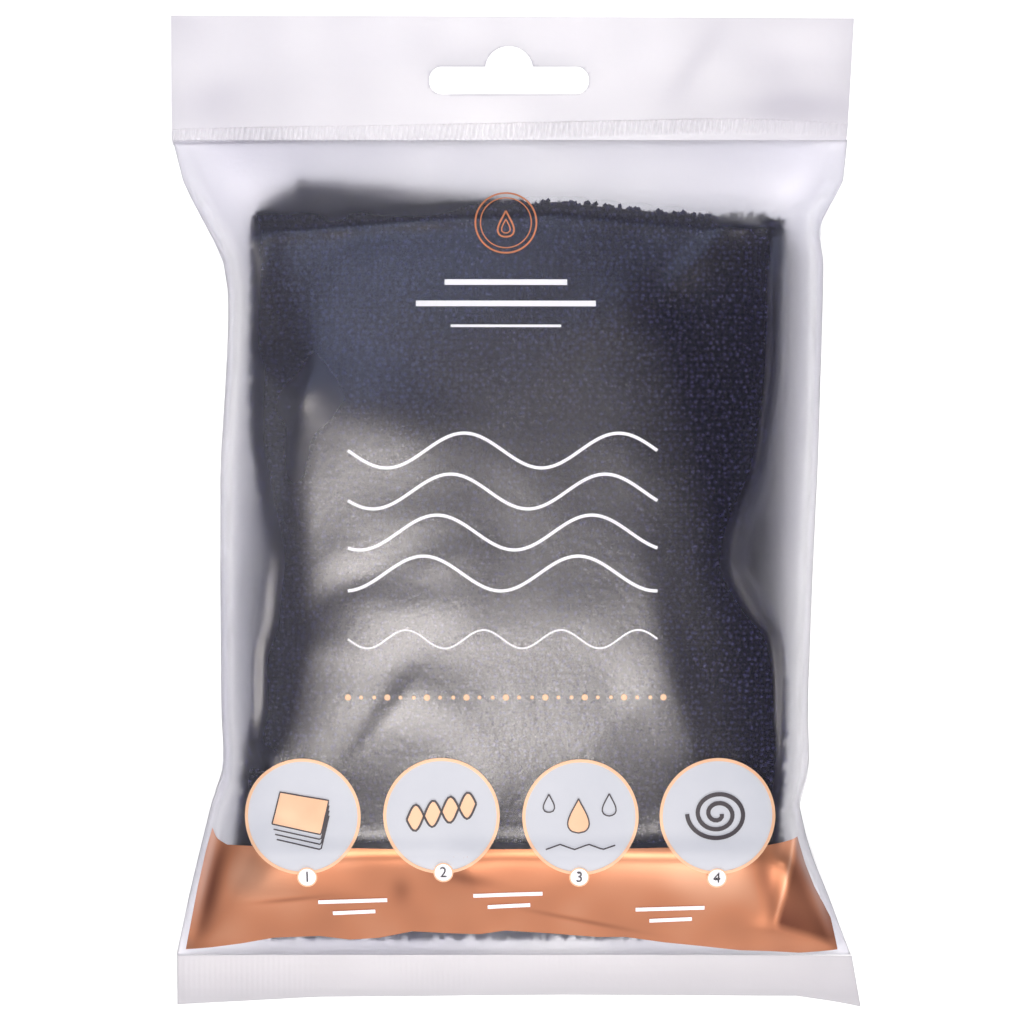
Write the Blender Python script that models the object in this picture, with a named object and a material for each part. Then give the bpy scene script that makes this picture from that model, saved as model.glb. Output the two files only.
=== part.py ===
"""A hair turban towel, folded into a flat packet inside a frosted retail pouch that lies on its back.

The turban is one flat piece of terry. It is folded double across its width, then to and fro along its
length. The pouch is two film panels, welded together in a hang header above, in a strip below and in a
narrow fin down each side. Metres, +Z up from the surface it lies on, +Y towards the hang header.
"""

import math
from collections import namedtuple

import bmesh
import bpy
import numpy as np

# Pouch, measured on the film
POUCH_WIDTH = 0.137
POUCH_HEIGHT = 0.198
FILM = 0.0005
HEADER_HEIGHT = 0.0252
BOTTOM_SEAL_HEIGHT = 0.0098
SIDE_FIN = 0.002
SEAL_LEVEL = 0.008
WELD_GAP = 0.0003

# Top header: hang slot, crimped weld, and how far its free edge droops
SLOT_WIDTH = 0.032
SLOT_HEIGHT = 0.0056
SLOT_BUMP_RADIUS = 0.0048
SLOT_BUMP_RISE = 0.0042
SLOT_TO_TOP = 0.0132
CRIMP_HEIGHT = 0.0034
CRIMP_RELIEF = 0.0002
HEADER_DROOP = 0.0025
BOTTOM_DROOP = 0.0012

# Towel
CLOTH = 0.0023
LAYER_GAP = 0.0006
TOWEL_WIDTH = 0.1084
TOWEL_CORNER = 0.007
TOWEL_SIDE_ROOM = 0.0022
TOWEL_REACH = 0.006
BACK_ROOM = 0.0011
FRONT_ROOM = 0.0024

# How the filled pouch swells between its welds. A higher fullness is flatter in the middle, and a higher
# steepness stands up more steeply from the weld. The corners are the parts nearest the end welds
Swell = namedtuple("Swell", "place fullness steepness")
SIDE_MIDDLE = Swell("side_middle", 8.0, 4.0)
SIDE_CORNER = Swell("side_corner", 2.6, 1.6)
TOP_END = Swell("top_end", 6.0, 1.7)
BOTTOM_END = Swell("bottom_end", 9.0, 2.2)
FLOOR_CONTACT = 1.15

# Mesh density. The evenness is 0 where the steps get much smaller towards the ends and 1 for even steps
STEP_EVENNESS = 0.2
FILM_COLUMNS = 26
FILM_ROWS = 34
BACK_COLUMNS = 22
BACK_ROWS = 26
CLOTH_COLUMNS = 8
CLOTH_TURN_STEPS = 3
RUN_STEPS = 8
WELD_COLUMNS = 12
ARC_STEPS = 10
SHARP_ANGLE = math.radians(40)
LEAST_BEND = 0.4

# Outline of the filled pouch between its welds. Height is the share of the chamber from the bottom weld
# up, and left and right are shares of half the pouch width
Outline = namedtuple("Outline", "height left right")
OUTLINE = [
    Outline(0.000, -0.980, 0.990),
    Outline(0.080, -0.940, 0.918),
    Outline(0.130, -0.911, 0.868),
    Outline(0.190, -0.876, 0.836),
    Outline(0.225, -0.840, 0.870),
    Outline(0.300, -0.849, 0.863),
    Outline(0.450, -0.852, 0.876),
    Outline(0.600, -0.852, 0.893),
    Outline(0.720, -0.834, 0.902),
    Outline(0.805, -0.826, 0.908),
    Outline(0.860, -0.847, 0.910),
    Outline(0.895, -0.895, 0.892),
    Outline(0.945, -0.958, 0.966),
    Outline(1.000, -0.991, 0.980),
]

# Dents of the front film. x0, y0, x1 and y1 are shares of half the pouch width and half its height, the
# widths are shares of the pouch width, and depth is a share of the room left in front of the towel
Dent = namedtuple("Dent", "name x0 y0 x1 y1 width0 width1 depth")
DENTS = [
    Dent("upper_left_pinch", -0.82, 0.43, -0.62, 0.26, 0.050, 0.030, 0.65),
    Dent("left_hollow", -0.78, 0.12, -0.68, -0.18, 0.050, 0.055, 0.65),
    Dent("left_valley", -0.70, -0.22, -0.24, -0.12, 0.035, 0.060, 0.50),
    Dent("lower_left_pinch", -0.84, -0.54, -0.62, -0.60, 0.050, 0.035, 0.65),
    Dent("upper_right_fold", 0.80, 0.56, 0.46, 0.42, 0.045, 0.055, 0.60),
    Dent("right_pinch", 0.68, -0.09, 0.88, -0.05, 0.035, 0.110, 0.60),
    Dent("lower_right_pinch", 0.74, -0.47, 0.84, -0.58, 0.035, 0.080, 0.60),
    Dent("right_corner_fold", 0.76, -0.83, 0.80, -0.68, 0.045, 0.035, 0.90),
    Dent("left_corner_fold", -0.90, -0.88, -0.78, -0.70, 0.045, 0.035, 0.90),
    Dent("band_crease", -0.80, -0.80, -0.26, -0.78, 0.030, 0.040, 0.45),
]

# Where each run of the folded towel ends, as shares of the chamber height. The front run starts at a
# loose edge at the top, the last one ends at a loose edge behind, and the upper ends lean to one side
Run = namedtuple("Run", "low high_left high_right")
TOWEL_RUNS = [
    Run(0.022, 0.912, 0.903),
    Run(0.022, 0.953, 0.893),
    Run(0.038, 0.953, 0.893),
    Run(0.038, 0.925, 0.880),
]

HALF_WIDTH = POUCH_WIDTH / 2
TOP = POUCH_HEIGHT / 2
BOTTOM = -POUCH_HEIGHT / 2
CHAMBER_TOP = TOP - HEADER_HEIGHT
CHAMBER_BOTTOM = BOTTOM + BOTTOM_SEAL_HEIGHT
CHAMBER_HEIGHT = CHAMBER_TOP - CHAMBER_BOTTOM
DOUBLE_CLOTH = 2 * CLOTH + LAYER_GAP
PITCH = DOUBLE_CLOTH + LAYER_GAP
STACK = len(TOWEL_RUNS) * PITCH - LAYER_GAP
FRONT_INSIDE = FILM + BACK_ROOM + STACK + FRONT_ROOM
FRONT_WELD_LEVEL = SEAL_LEVEL + WELD_GAP / 2
BACK_WELD_LEVEL = SEAL_LEVEL - WELD_GAP / 2
FRONT_RISE = FRONT_INSIDE - FRONT_WELD_LEVEL
BACK_FALL = BACK_WELD_LEVEL - FILM

FILM_COLOUR = (0.84, 0.83, 0.86, 0.45)
TOWEL_COLOUR = (0.035, 0.034, 0.055, 1.0)


def clear_scene():
    """Removes what the start-up file holds."""
    for obj in list(bpy.data.objects):
        bpy.data.objects.remove(obj)


def material(name, colour, roughness):
    """A plain finish for one piece."""
    finish = bpy.data.materials.new(name)
    finish.use_nodes = True
    shader = finish.node_tree.nodes["Principled BSDF"]
    shader.inputs["Base Color"].default_value = colour
    shader.inputs["Roughness"].default_value = roughness
    shader.inputs["Alpha"].default_value = colour[3]
    finish.diffuse_color = colour
    return finish


def add_object(name, points, faces, finish):
    """One named object, with its faces turned outwards."""
    mesh = bpy.data.meshes.new(name)
    mesh.from_pydata(points, [], faces)
    shape = bmesh.new()
    shape.from_mesh(mesh)
    bmesh.ops.recalc_face_normals(shape, faces=shape.faces)
    shape.to_mesh(mesh)
    shape.free()
    mesh.materials.append(finish)
    mesh.shade_smooth()
    mesh.set_sharp_from_angle(angle=SHARP_ANGLE)
    obj = bpy.data.objects.new(name, mesh)
    bpy.context.scene.collection.objects.link(obj)
    return obj


def film_edges(y):
    """The pouch's left and right edge at this height."""
    share = (y - CHAMBER_BOTTOM) / CHAMBER_HEIGHT
    heights = [row.height for row in OUTLINE]
    left = np.interp(share, heights, [row.left for row in OUTLINE])
    right = np.interp(share, heights, [row.right for row in OUTLINE])
    return left * HALF_WIDTH, right * HALF_WIDTH


def crown(share, fullness, steepness):
    """1 in the middle of a span and 0 at its ends, where share is -1 or 1."""
    return max(0.0, 1 - abs(share) ** fullness) ** (1 / steepness)


def swell(x, y):
    """How far the filling pushes the film out here: 0 at the welds and 1 in the middle."""
    left, right = film_edges(y)
    across = (2 * x - left - right) / (right - left - 2 * SIDE_FIN)
    along = (2 * y - CHAMBER_TOP - CHAMBER_BOTTOM) / CHAMBER_HEIGHT
    if abs(across) >= 1 or abs(along) >= 1:
        return 0.0
    end = TOP_END if along > 0 else BOTTOM_END
    filled = crown(along, end.fullness, end.steepness)
    fullness = SIDE_CORNER.fullness + filled * (SIDE_MIDDLE.fullness - SIDE_CORNER.fullness)
    steepness = SIDE_CORNER.steepness + filled * (SIDE_MIDDLE.steepness - SIDE_CORNER.steepness)
    return filled * crown(across, fullness, steepness)


def dent_depth(x, y):
    """How deep the dents are here, as a share of the room in front of the towel."""
    depth = 0.0
    for dent in DENTS:
        start = np.array([dent.x0 * HALF_WIDTH, dent.y0 * TOP])
        run = np.array([dent.x1 * HALF_WIDTH, dent.y1 * TOP]) - start
        away = np.array([x, y]) - start
        share = min(1.0, max(0.0, float(away @ run) / float(run @ run)))
        width = (dent.width0 + share * (dent.width1 - dent.width0)) * POUCH_WIDTH
        distance = float(np.linalg.norm(away - share * run))
        depth = max(depth, dent.depth * math.exp(-((distance / width) ** 2)))
    return depth


def front_inside(x, y):
    """The inner face of the front film."""
    return FRONT_WELD_LEVEL + swell(x, y) * (FRONT_RISE - FRONT_ROOM * dent_depth(x, y))


def back_inside(x, y):
    """The inner face of the back film, flat where it lies on the surface."""
    return BACK_WELD_LEVEL - BACK_FALL * min(1.0, FLOOR_CONTACT * swell(x, y))


def rounded_shares(steps):
    """Shares from 0 to 1, closer together at both ends."""
    even = [i / steps for i in range(steps + 1)]
    return [STEP_EVENNESS * s + (1 - STEP_EVENNESS) * (1 - math.cos(math.pi * s)) / 2 for s in even]


def halves(quad, points):
    """The two triangles of a quad, cut on the diagonal that runs from low x and y to high x and y, so
    that layers one above the other are cut alike."""
    reach = [points[i][0] + points[i][1] for i in quad]
    a, b, c, d = quad
    if abs(reach[0] - reach[2]) >= abs(reach[1] - reach[3]):
        return [(a, b, c), (a, c, d)]
    return [(b, c, d), (b, d, a)]


def film_panel(name, level, columns, rows, side, finish):
    """One film panel: its inner face on a grid, thickened outwards, with an upright cut rim. side is 1
    for the front and -1 for the back."""
    inner = []
    for along in rounded_shares(rows):
        y = CHAMBER_BOTTOM + along * CHAMBER_HEIGHT
        left, right = film_edges(y)
        inner_width = right - left - 2 * SIDE_FIN
        places = [left + SIDE_FIN + s * inner_width for s in rounded_shares(columns)]
        inner.append([(x, y, level(x, y)) for x in [left, *places, right]])
    grid = np.array(inner)
    outer = grid + side * FILM * corner_normals(grid)
    across = columns + 3
    layer = across * (rows + 1)
    points = [tuple(point) for point in np.concatenate([grid, outer]).reshape(-1, 3).tolist()]
    faces = []
    for row in range(rows):
        for column in range(across - 1):
            corner = row * across + column
            face = (corner, corner + 1, corner + across + 1, corner + across)
            faces += halves(face, points)
            faces += halves([layer + i for i in reversed(face)], points)
    faces += rim_faces(across, rows + 1, layer)
    return add_object(name, points, faces, finish)


def corner_normals(grid):
    """The offset at each point of a grid that keeps a wall's thickness on both sides of a bend, and is
    upright along the rim."""
    sides = np.cross(grid[1:, 1:] - grid[:-1, :-1], grid[1:, :-1] - grid[:-1, 1:])
    sides /= np.linalg.norm(sides, axis=2, keepdims=True)
    sides = np.pad(sides, ((1, 1), (1, 1), (0, 0)), mode="edge")
    mean = (sides[1:, 1:] + sides[:-1, 1:] + sides[1:, :-1] + sides[:-1, :-1]) / 4
    offsets = mean / np.maximum(LEAST_BEND, (mean**2).sum(axis=2, keepdims=True))
    for rim in (np.s_[0, :], np.s_[-1, :], np.s_[:, 0], np.s_[:, -1]):
        offsets[rim] = (0.0, 0.0, 1.0)
    return offsets


def rim_faces(across, rows, layer):
    """The faces that join the rims of two grids, one after the other in the list of points."""
    rim = list(range(across))
    rim += [row * across + across - 1 for row in range(1, rows)]
    rim += [(rows - 1) * across + c for c in range(across - 2, -1, -1)]
    rim += [row * across for row in range(rows - 2, 0, -1)]
    return [(i, j, layer + j, layer + i) for i, j in zip(rim, rim[1:] + rim[:1])]


def weld_strip(name, low, high, corners, droop, free_edge_high, relief, finish):
    """A flat welded strip of both films. corners holds its four x places: low left and right, high left
    and right. It droops towards its free edge, and relief thickens the crimp beside the pouch."""
    left_low, right_low, left_high, right_high = corners
    height = high - low
    crimp = min(1.0, CRIMP_HEIGHT / height)
    rows = [0.0, crimp / 2, crimp, (1 + crimp) / 2, 1.0]
    points = []
    for side in (1, -1):
        for row in rows:
            share = row if free_edge_high else 1 - row
            y = low + share * height
            left = left_low + share * (left_high - left_low)
            right = right_low + share * (right_high - right_low)
            raised = relief if row == crimp / 2 else 0.0
            level = SEAL_LEVEL - droop * row**2 + side * (FILM + WELD_GAP / 2 + raised)
            for column in range(WELD_COLUMNS + 1):
                points.append((left + (right - left) * column / WELD_COLUMNS, y, level))
    across = WELD_COLUMNS + 1
    layer = len(rows) * across
    faces = []
    for row in range(len(rows) - 1):
        for column in range(WELD_COLUMNS):
            a = row * across + column
            face = (a, a + 1, a + across + 1, a + across)
            faces.append(face)
            faces.append(tuple(layer + i for i in reversed(face)))
    faces += rim_faces(across, len(rows), layer)
    return add_object(name, points, faces, finish)


def slot_outline():
    """The hang slot: a long slot with round ends and a round bump in the middle of its upper side."""
    middle = TOP - SLOT_TO_TOP
    end = SLOT_HEIGHT / 2
    reach = SLOT_WIDTH / 2 - end
    bump_centre = middle + end + SLOT_BUMP_RISE - SLOT_BUMP_RADIUS
    dip = math.asin((middle + end - bump_centre) / SLOT_BUMP_RADIUS)
    points = []
    for i in range(ARC_STEPS + 1):
        turn = -math.pi / 2 + math.pi * i / ARC_STEPS
        points.append((reach + end * math.cos(turn), middle + end * math.sin(turn)))
    for i in range(ARC_STEPS + 1):
        turn = dip + (math.pi - 2 * dip) * i / ARC_STEPS
        x = SLOT_BUMP_RADIUS * math.cos(turn)
        points.append((x, bump_centre + SLOT_BUMP_RADIUS * math.sin(turn)))
    for i in range(ARC_STEPS + 1):
        turn = math.pi / 2 + math.pi * i / ARC_STEPS
        points.append((-reach + end * math.cos(turn), middle + end * math.sin(turn)))
    return points


def cut_hang_slot(header):
    """Cuts the hang slot right through the header."""
    outline = slot_outline()
    count = len(outline)
    thickness = 2 * FILM + WELD_GAP
    top = SEAL_LEVEL + thickness
    bottom = SEAL_LEVEL - HEADER_DROOP - thickness
    points = [(x, y, bottom) for x, y in outline] + [(x, y, top) for x, y in outline]
    faces = [tuple(reversed(range(count))), tuple(range(count, 2 * count))]
    for i in range(count):
        j = (i + 1) % count
        faces.append((i, j, count + j, count + i))
    cutter = add_object("hang_slot_cutter", points, faces, header.data.materials[0])
    cutter.hide_render = True
    cutter.display_type = "WIRE"
    cut = header.modifiers.new("hang slot", "BOOLEAN")
    cut.object = cutter
    cut.operation = "DIFFERENCE"
    cut.solver = "EXACT"


def towel_edges(y):
    """The towel's left and right edge at this height, kept inside the film and rounded at its corners."""
    nearby = [film_edges(y + step * TOWEL_REACH) for step in (-2, -1, 0, 1, 2)]
    left = max(edges[0] for edges in nearby)
    right = min(edges[1] for edges in nearby)
    inset = SIDE_FIN + TOWEL_SIDE_ROOM
    centre = (left + right) / 2
    half = min(TOWEL_WIDTH / 2, (right - left) / 2 - inset)
    low = CHAMBER_BOTTOM + min(run.low for run in TOWEL_RUNS) * CHAMBER_HEIGHT
    high = CHAMBER_BOTTOM + max(run.high_left for run in TOWEL_RUNS) * CHAMBER_HEIGHT
    near = max(0.0, min(1.0, 1 - min(y - low, high - y) / TOWEL_CORNER))
    cut = TOWEL_CORNER * (1 - math.sqrt(max(0.0, 1 - near**2))) / 2
    return centre - half + cut, centre + half - cut


def cloth_profile():
    """Stations round the doubled cloth, from the loose edge in front round the side fold to the loose
    edge behind. Each has the share across for its outer and inner face, its offset from that place in
    metres, and its height within the doubled cloth."""
    outer = DOUBLE_CLOTH / 2
    inner = LAYER_GAP / 2
    stations = []
    for share in reversed(rounded_shares(CLOTH_COLUMNS)):
        offset = outer * (1 - share)
        stations.append((share, offset, outer, share, offset, inner))
    for i in range(1, CLOTH_TURN_STEPS):
        turn = math.pi / 2 + math.pi * i / CLOTH_TURN_STEPS
        across, height = math.cos(turn), math.sin(turn)
        inner_offset = outer + inner * across
        stations.append((0.0, outer * (1 + across), outer * height, 0.0, inner_offset, inner * height))
    for share in rounded_shares(CLOTH_COLUMNS):
        offset = outer * (1 - share)
        stations.append((share, offset, -outer, share, offset, -inner))
    return stations


def fold_path(highs):
    """The towel's way through its folds, with each run's upper end at one of highs, as shares of the
    chamber height. Each step has its place along Y, its level in the stack, and the cloth's normal."""
    radius = PITCH / 2
    last = len(TOWEL_RUNS) - 1
    steps = []
    for number, run in enumerate(TOWEL_RUNS):
        level = STACK - DOUBLE_CLOTH / 2 - number * PITCH
        low = CHAMBER_BOTTOM + run.low * CHAMBER_HEIGHT + radius + DOUBLE_CLOTH / 2
        high = CHAMBER_BOTTOM + highs[number] * CHAMBER_HEIGHT
        if 0 < number < last:
            high -= radius + DOUBLE_CLOTH / 2
        turns_high = number % 2 == 1
        start, end = (low, high) if turns_high else (high, low)
        normal = -1.0 if turns_high else 1.0
        for share in rounded_shares(RUN_STEPS):
            steps.append((start + share * (end - start), level, 0.0, normal))
        if number == last:
            break
        side = 1.0 if turns_high else -1.0
        for i in range(1, CLOTH_TURN_STEPS + 1):
            turn = math.pi * i / (CLOTH_TURN_STEPS + 1)
            y = end + side * radius * math.sin(turn)
            z = level - radius + radius * math.cos(turn)
            steps.append((y, z, -math.sin(turn), -side * math.cos(turn)))
    return steps


def towel_point(share, offset, y, level):
    """A place in the folded towel: across it, along it, and up through its pressed layers."""
    left, right = towel_edges(y)
    x = left + share * (right - left) + offset
    low = back_inside(x, y) + BACK_ROOM
    high = FRONT_WELD_LEVEL + FRONT_RISE * swell(x, y) - FRONT_ROOM
    return (x, y, low + (high - low) * level / STACK)


def folded_towel(finish):
    """The doubled cloth, swept through its folds in one piece."""
    profile = cloth_profile()
    path_left = fold_path([run.high_left for run in TOWEL_RUNS])
    path_right = fold_path([run.high_right for run in TOWEL_RUNS])
    count = len(profile)
    points = []
    for (y_left, level, normal_y, normal_z), (y_right, *_) in zip(path_left, path_right):
        outer = []
        inner = []
        for share_out, offset_out, height_out, share_in, offset_in, height_in in profile:
            y = y_left + share_out * (y_right - y_left) + normal_y * height_out
            outer.append(towel_point(share_out, offset_out, y, level + normal_z * height_out))
            y = y_left + share_in * (y_right - y_left) + normal_y * height_in
            inner.append(towel_point(share_in, offset_in, y, level + normal_z * height_in))
        points += outer + inner[::-1]
    ring = 2 * count
    faces = []
    for step in range(len(path_left) - 1):
        for i in range(ring):
            j = (i + 1) % ring
            here, after = step * ring, (step + 1) * ring
            faces += halves((here + i, here + j, after + j, after + i), points)
    last = (len(path_left) - 1) * ring
    for i in range(count - 1):
        faces.append((i, i + 1, ring - 2 - i, ring - 1 - i))
        faces.append((last + i, last + ring - 1 - i, last + ring - 2 - i, last + i + 1))
    return add_object("folded_towel", points, faces, finish)


def build():
    """Makes every piece of the packed towel."""
    clear_scene()
    film = material("frosted_film", FILM_COLOUR, 0.35)
    terry = material("terry", TOWEL_COLOUR, 0.95)
    folded_towel(terry)
    film_panel("front_film", front_inside, FILM_COLUMNS, FILM_ROWS, 1, film)
    film_panel("back_film", back_inside, BACK_COLUMNS, BACK_ROWS, -1, film)
    first, last = OUTLINE[0], OUTLINE[-1]
    header = weld_strip(
        "hang_header",
        CHAMBER_TOP + WELD_GAP,
        TOP,
        [last.left * HALF_WIDTH, last.right * HALF_WIDTH, -HALF_WIDTH, HALF_WIDTH],
        HEADER_DROOP,
        True,
        CRIMP_RELIEF,
        film,
    )
    cut_hang_slot(header)
    weld_strip(
        "bottom_seal",
        BOTTOM,
        CHAMBER_BOTTOM - WELD_GAP,
        [-HALF_WIDTH, HALF_WIDTH, first.left * HALF_WIDTH, first.right * HALF_WIDTH],
        BOTTOM_DROOP,
        False,
        0.0,
        film,
    )


build()
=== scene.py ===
# %% [markdown]
# # A folded turban towel in its frosted hang pouch
# The object is a dark terry turban towel, folded into a flat packet and sealed in a frosted film pouch with
# a hang slot. The solids of the packet come from the frame, and this lesson dresses them: cloth with real
# loops, thin film with its folds and welds, and the ink printed on it. Everything is in metres, the packet
# lies on its back, +Y runs towards the hang header and +Z comes out of its front.

import math

import bpy
import numpy as np
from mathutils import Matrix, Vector, noise
from mathutils.bvhtree import BVHTree


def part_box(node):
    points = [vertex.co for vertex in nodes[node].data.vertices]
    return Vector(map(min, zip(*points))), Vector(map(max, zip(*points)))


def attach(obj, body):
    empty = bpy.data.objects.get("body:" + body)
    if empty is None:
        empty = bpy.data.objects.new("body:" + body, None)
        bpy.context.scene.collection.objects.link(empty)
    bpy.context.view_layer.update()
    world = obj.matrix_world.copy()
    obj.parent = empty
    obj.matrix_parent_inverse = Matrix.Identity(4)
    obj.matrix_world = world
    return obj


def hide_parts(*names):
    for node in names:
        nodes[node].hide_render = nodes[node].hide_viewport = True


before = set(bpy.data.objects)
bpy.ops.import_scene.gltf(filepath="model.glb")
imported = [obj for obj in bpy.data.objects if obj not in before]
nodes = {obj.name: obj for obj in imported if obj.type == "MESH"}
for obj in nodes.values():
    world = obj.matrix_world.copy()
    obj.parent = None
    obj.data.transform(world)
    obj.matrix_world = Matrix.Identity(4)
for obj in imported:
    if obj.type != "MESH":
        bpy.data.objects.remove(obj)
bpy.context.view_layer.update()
MM = 0.001
print("frame nodes:", sorted(nodes))

# %% [markdown]
# ## Camera
# The photograph looks straight down on the packet from far away, so its sides show no perspective. A long
# lens does the same. One photo pixel is 0.2 mm on the packet, and the camera stands where 1024 of them
# fill the frame at the level of the side welds. Two helpers turn photo pixels into places and back.

# %% Camera
PHOTO_PIXEL = 0.2 * MM
PHOTO_SIZE = 1024
PHOTO_ORIGIN = (512, 509)
LENS_MM = 150
SENSOR_MM = 36
CLIP_START = 0.05
WELD_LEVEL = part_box("front_film")[0].z


def spot(px, py):
    """The place on the packet, as X and Y, that a pixel of the photo shows."""
    return (px - PHOTO_ORIGIN[0]) * PHOTO_PIXEL, (PHOTO_ORIGIN[1] - py) * PHOTO_PIXEL


def photo_pixels(xs, ys):
    """The pixels of the photo that show these places."""
    return xs / PHOTO_PIXEL + PHOTO_ORIGIN[0], PHOTO_ORIGIN[1] - ys / PHOTO_PIXEL


camera_data = bpy.data.cameras.new("camera")
camera_data.lens = LENS_MM
camera_data.sensor_width = SENSOR_MM
camera_data.clip_start = CLIP_START
camera = bpy.data.objects.new("camera", camera_data)
bpy.context.scene.collection.objects.link(camera)
camera_distance = PHOTO_SIZE * PHOTO_PIXEL * LENS_MM / SENSOR_MM
middle_x, middle_y = spot(PHOTO_SIZE / 2, PHOTO_SIZE / 2)
camera.location = (middle_x, middle_y, WELD_LEVEL + camera_distance)
bpy.context.scene.camera = camera
print("camera distance", round(camera_distance, 3))

# %% [markdown]
# ## Soft lights
# Frosted film shows its shape only through what it mirrors, so the lights matter more than its colour. A
# warm soft box almost overhead gives the broad grey sheen over the middle, a cool one stands beyond the
# header and a warm one beyond the foot, and narrow strips at the sides draw the edges.

# %% Soft lights
LIGHT_AIM = (0, 0, 0.012)
# Each soft box has a place, a width and height, a power in watts and a colour
SOFT_BOXES = {
    "key_box": ((-0.06, -0.20, 0.97), (0.30, 0.22), 5.0, (1.0, 0.94, 0.89)),
    "upper_box": ((-0.15, 0.42, 0.88), (0.36, 0.30), 0.7, (0.58, 0.68, 1.0)),
    "low_box": ((0.12, -0.75, 0.50), (0.36, 0.20), 1.9, (1.0, 0.95, 0.92)),
    "left_strip": ((-0.75, 0.0, 0.45), (0.2, 0.8), 0.3, (1.0, 1.0, 1.0)),
    "right_strip": ((0.75, 0.05, 0.40), (0.2, 0.8), 0.12, (1.0, 1.0, 1.0)),
}


def soft_box(name, place, size, power, colour):
    """A rectangular area light that looks at the middle of the packet."""
    light = bpy.data.lights.new(name, "AREA")
    light.shape = "RECTANGLE"
    light.size, light.size_y = size
    light.energy = power
    light.color = colour
    box = bpy.data.objects.new(name, light)
    box.location = place
    box.rotation_euler = (Vector(place) - Vector(LIGHT_AIM)).to_track_quat("Z", "Y").to_euler()
    bpy.context.scene.collection.objects.link(box)


for name, facts in SOFT_BOXES.items():
    soft_box(name, *facts)
print("soft boxes:", len(SOFT_BOXES))

# %% [markdown]
# ## Sky and floor
# The photograph has a pure white ground. The sky behind the lights is a soft gradient, pale at the horizon
# and nearly dark overhead, so that film facing the camera mirrors little of it. The floor is plain and
# glows a little, as a light table does, which keeps the margins of the film bright.

# %% Sky and floor
SKY_STOPS = [(0.25, (0.42, 0.42, 0.50, 1)), (0.9, (0.02, 0.02, 0.04, 1))]
FLOOR_SIZE = 6.0
FLOOR_DROP = 0.3 * MM
FLOOR_GREY = 0.5
FLOOR_ROUGHNESS = 0.9
FLOOR_GLOW = 0.76

world = bpy.data.worlds.new("studio")
bpy.context.scene.world = world
world.use_nodes = True
sky = world.node_tree
for old in list(sky.nodes):
    sky.nodes.remove(old)
direction = sky.nodes.new("ShaderNodeTexCoord")
split = sky.nodes.new("ShaderNodeSeparateXYZ")
ramp = sky.nodes.new("ShaderNodeValToRGB")
for element, (position, colour) in zip(ramp.color_ramp.elements, SKY_STOPS):
    element.position = position
    element.color = colour
backdrop = sky.nodes.new("ShaderNodeBackground")
out = sky.nodes.new("ShaderNodeOutputWorld")
sky.links.new(direction.outputs["Generated"], split.inputs[0])
sky.links.new(split.outputs["Z"], ramp.inputs["Fac"])
sky.links.new(ramp.outputs["Color"], backdrop.inputs["Color"])
sky.links.new(backdrop.outputs["Background"], out.inputs["Surface"])

bpy.ops.mesh.primitive_plane_add(size=FLOOR_SIZE, location=(0, 0, -FLOOR_DROP))
floor = bpy.context.object
floor.name = "floor"
pale = bpy.data.materials.new("pale_floor")
pale.use_nodes = True
pale_shader = pale.node_tree.nodes["Principled BSDF"]
pale_shader.inputs["Base Color"].default_value = (FLOOR_GREY, FLOOR_GREY, FLOOR_GREY, 1)
pale_shader.inputs["Roughness"].default_value = FLOOR_ROUGHNESS
pale_shader.inputs["Emission Color"].default_value = (1, 1, 1, 1)
pale_shader.inputs["Emission Strength"].default_value = FLOOR_GLOW
floor.data.materials.append(pale)
bpy.context.scene.view_settings.view_transform = "Standard"
print("floor glow", FLOOR_GLOW)

# %% [markdown]
# ## Working with surfaces
# Ink, loops and film folds all have to lie on what carries them. A ray cast straight down on a mesh says
# how high it is there. These helpers read such heights off a mesh, even them out, and blend one value into
# another over a distance.

# %% Surface helpers
RAY_FROM = 0.2


def ray_tree(obj):
    """A search tree over an object's triangles, for casting rays at it."""
    mesh = obj.data
    mesh.calc_loop_triangles()
    return BVHTree.FromPolygons(
        [v.co for v in mesh.vertices], [t.vertices for t in mesh.loop_triangles]
    )


def height_at(tree, x, y, side=1):
    """The height of the surface seen from above (side 1) or from below (side -1), or nan."""
    hit = tree.ray_cast(Vector((x, y, side * RAY_FROM)), Vector((0, 0, -side)))[0]
    return hit.z if hit else math.nan


def heights(tree, xs, ys, side=1):
    """Heights over a whole grid of places."""
    flat = [height_at(tree, x, y, side) for x, y in zip(xs.ravel(), ys.ravel())]
    return np.array(flat).reshape(xs.shape)


def evened(grid, passes):
    """The grid averaged with its neighbours, its rim kept."""
    grid = grid.copy()
    for _ in range(passes):
        inner = grid[1:-1, 1:-1] * 2 + grid[:-2, 1:-1] + grid[2:, 1:-1]
        grid[1:-1, 1:-1] = (inner + grid[1:-1, :-2] + grid[1:-1, 2:]) / 6
    return grid


def rise(values, start, reach):
    """0 up to start, then a straight rise to 1 over reach."""
    return np.clip((values - start) / reach, 0, 1)


def fall(values, end, reach):
    """A straight fall from 1 to 0 over reach, and 0 from end on."""
    return np.clip((end - values) / reach, 0, 1)


def read_off(points, values, axis=0):
    """The other coordinate of a line through these points, at values of the coordinate named by axis."""
    points = sorted(points, key=lambda point: point[axis])
    return np.interp(values, [p[axis] for p in points], [p[1 - axis] for p in points])


film_tree = ray_tree(nodes["front_film"])
back_tree = ray_tree(nodes["back_film"])
print("side welds lie", round(WELD_LEVEL / MM, 2), "mm over the table")

# %% [markdown]
# ## Making pieces
# Blender's operators act on all that is selected, so each helper here first selects just what it needs.
# A sheet starts as a grid primitive whose points are then set, a wall comes from a Solidify modifier, and
# numbers stored on the points tell a material later where its painted shade and highlight go.

# %% Piece helpers


def deselect():
    """Nothing selected, so that an operator acts only on what is picked next."""
    bpy.ops.object.select_all(action="DESELECT")


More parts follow.
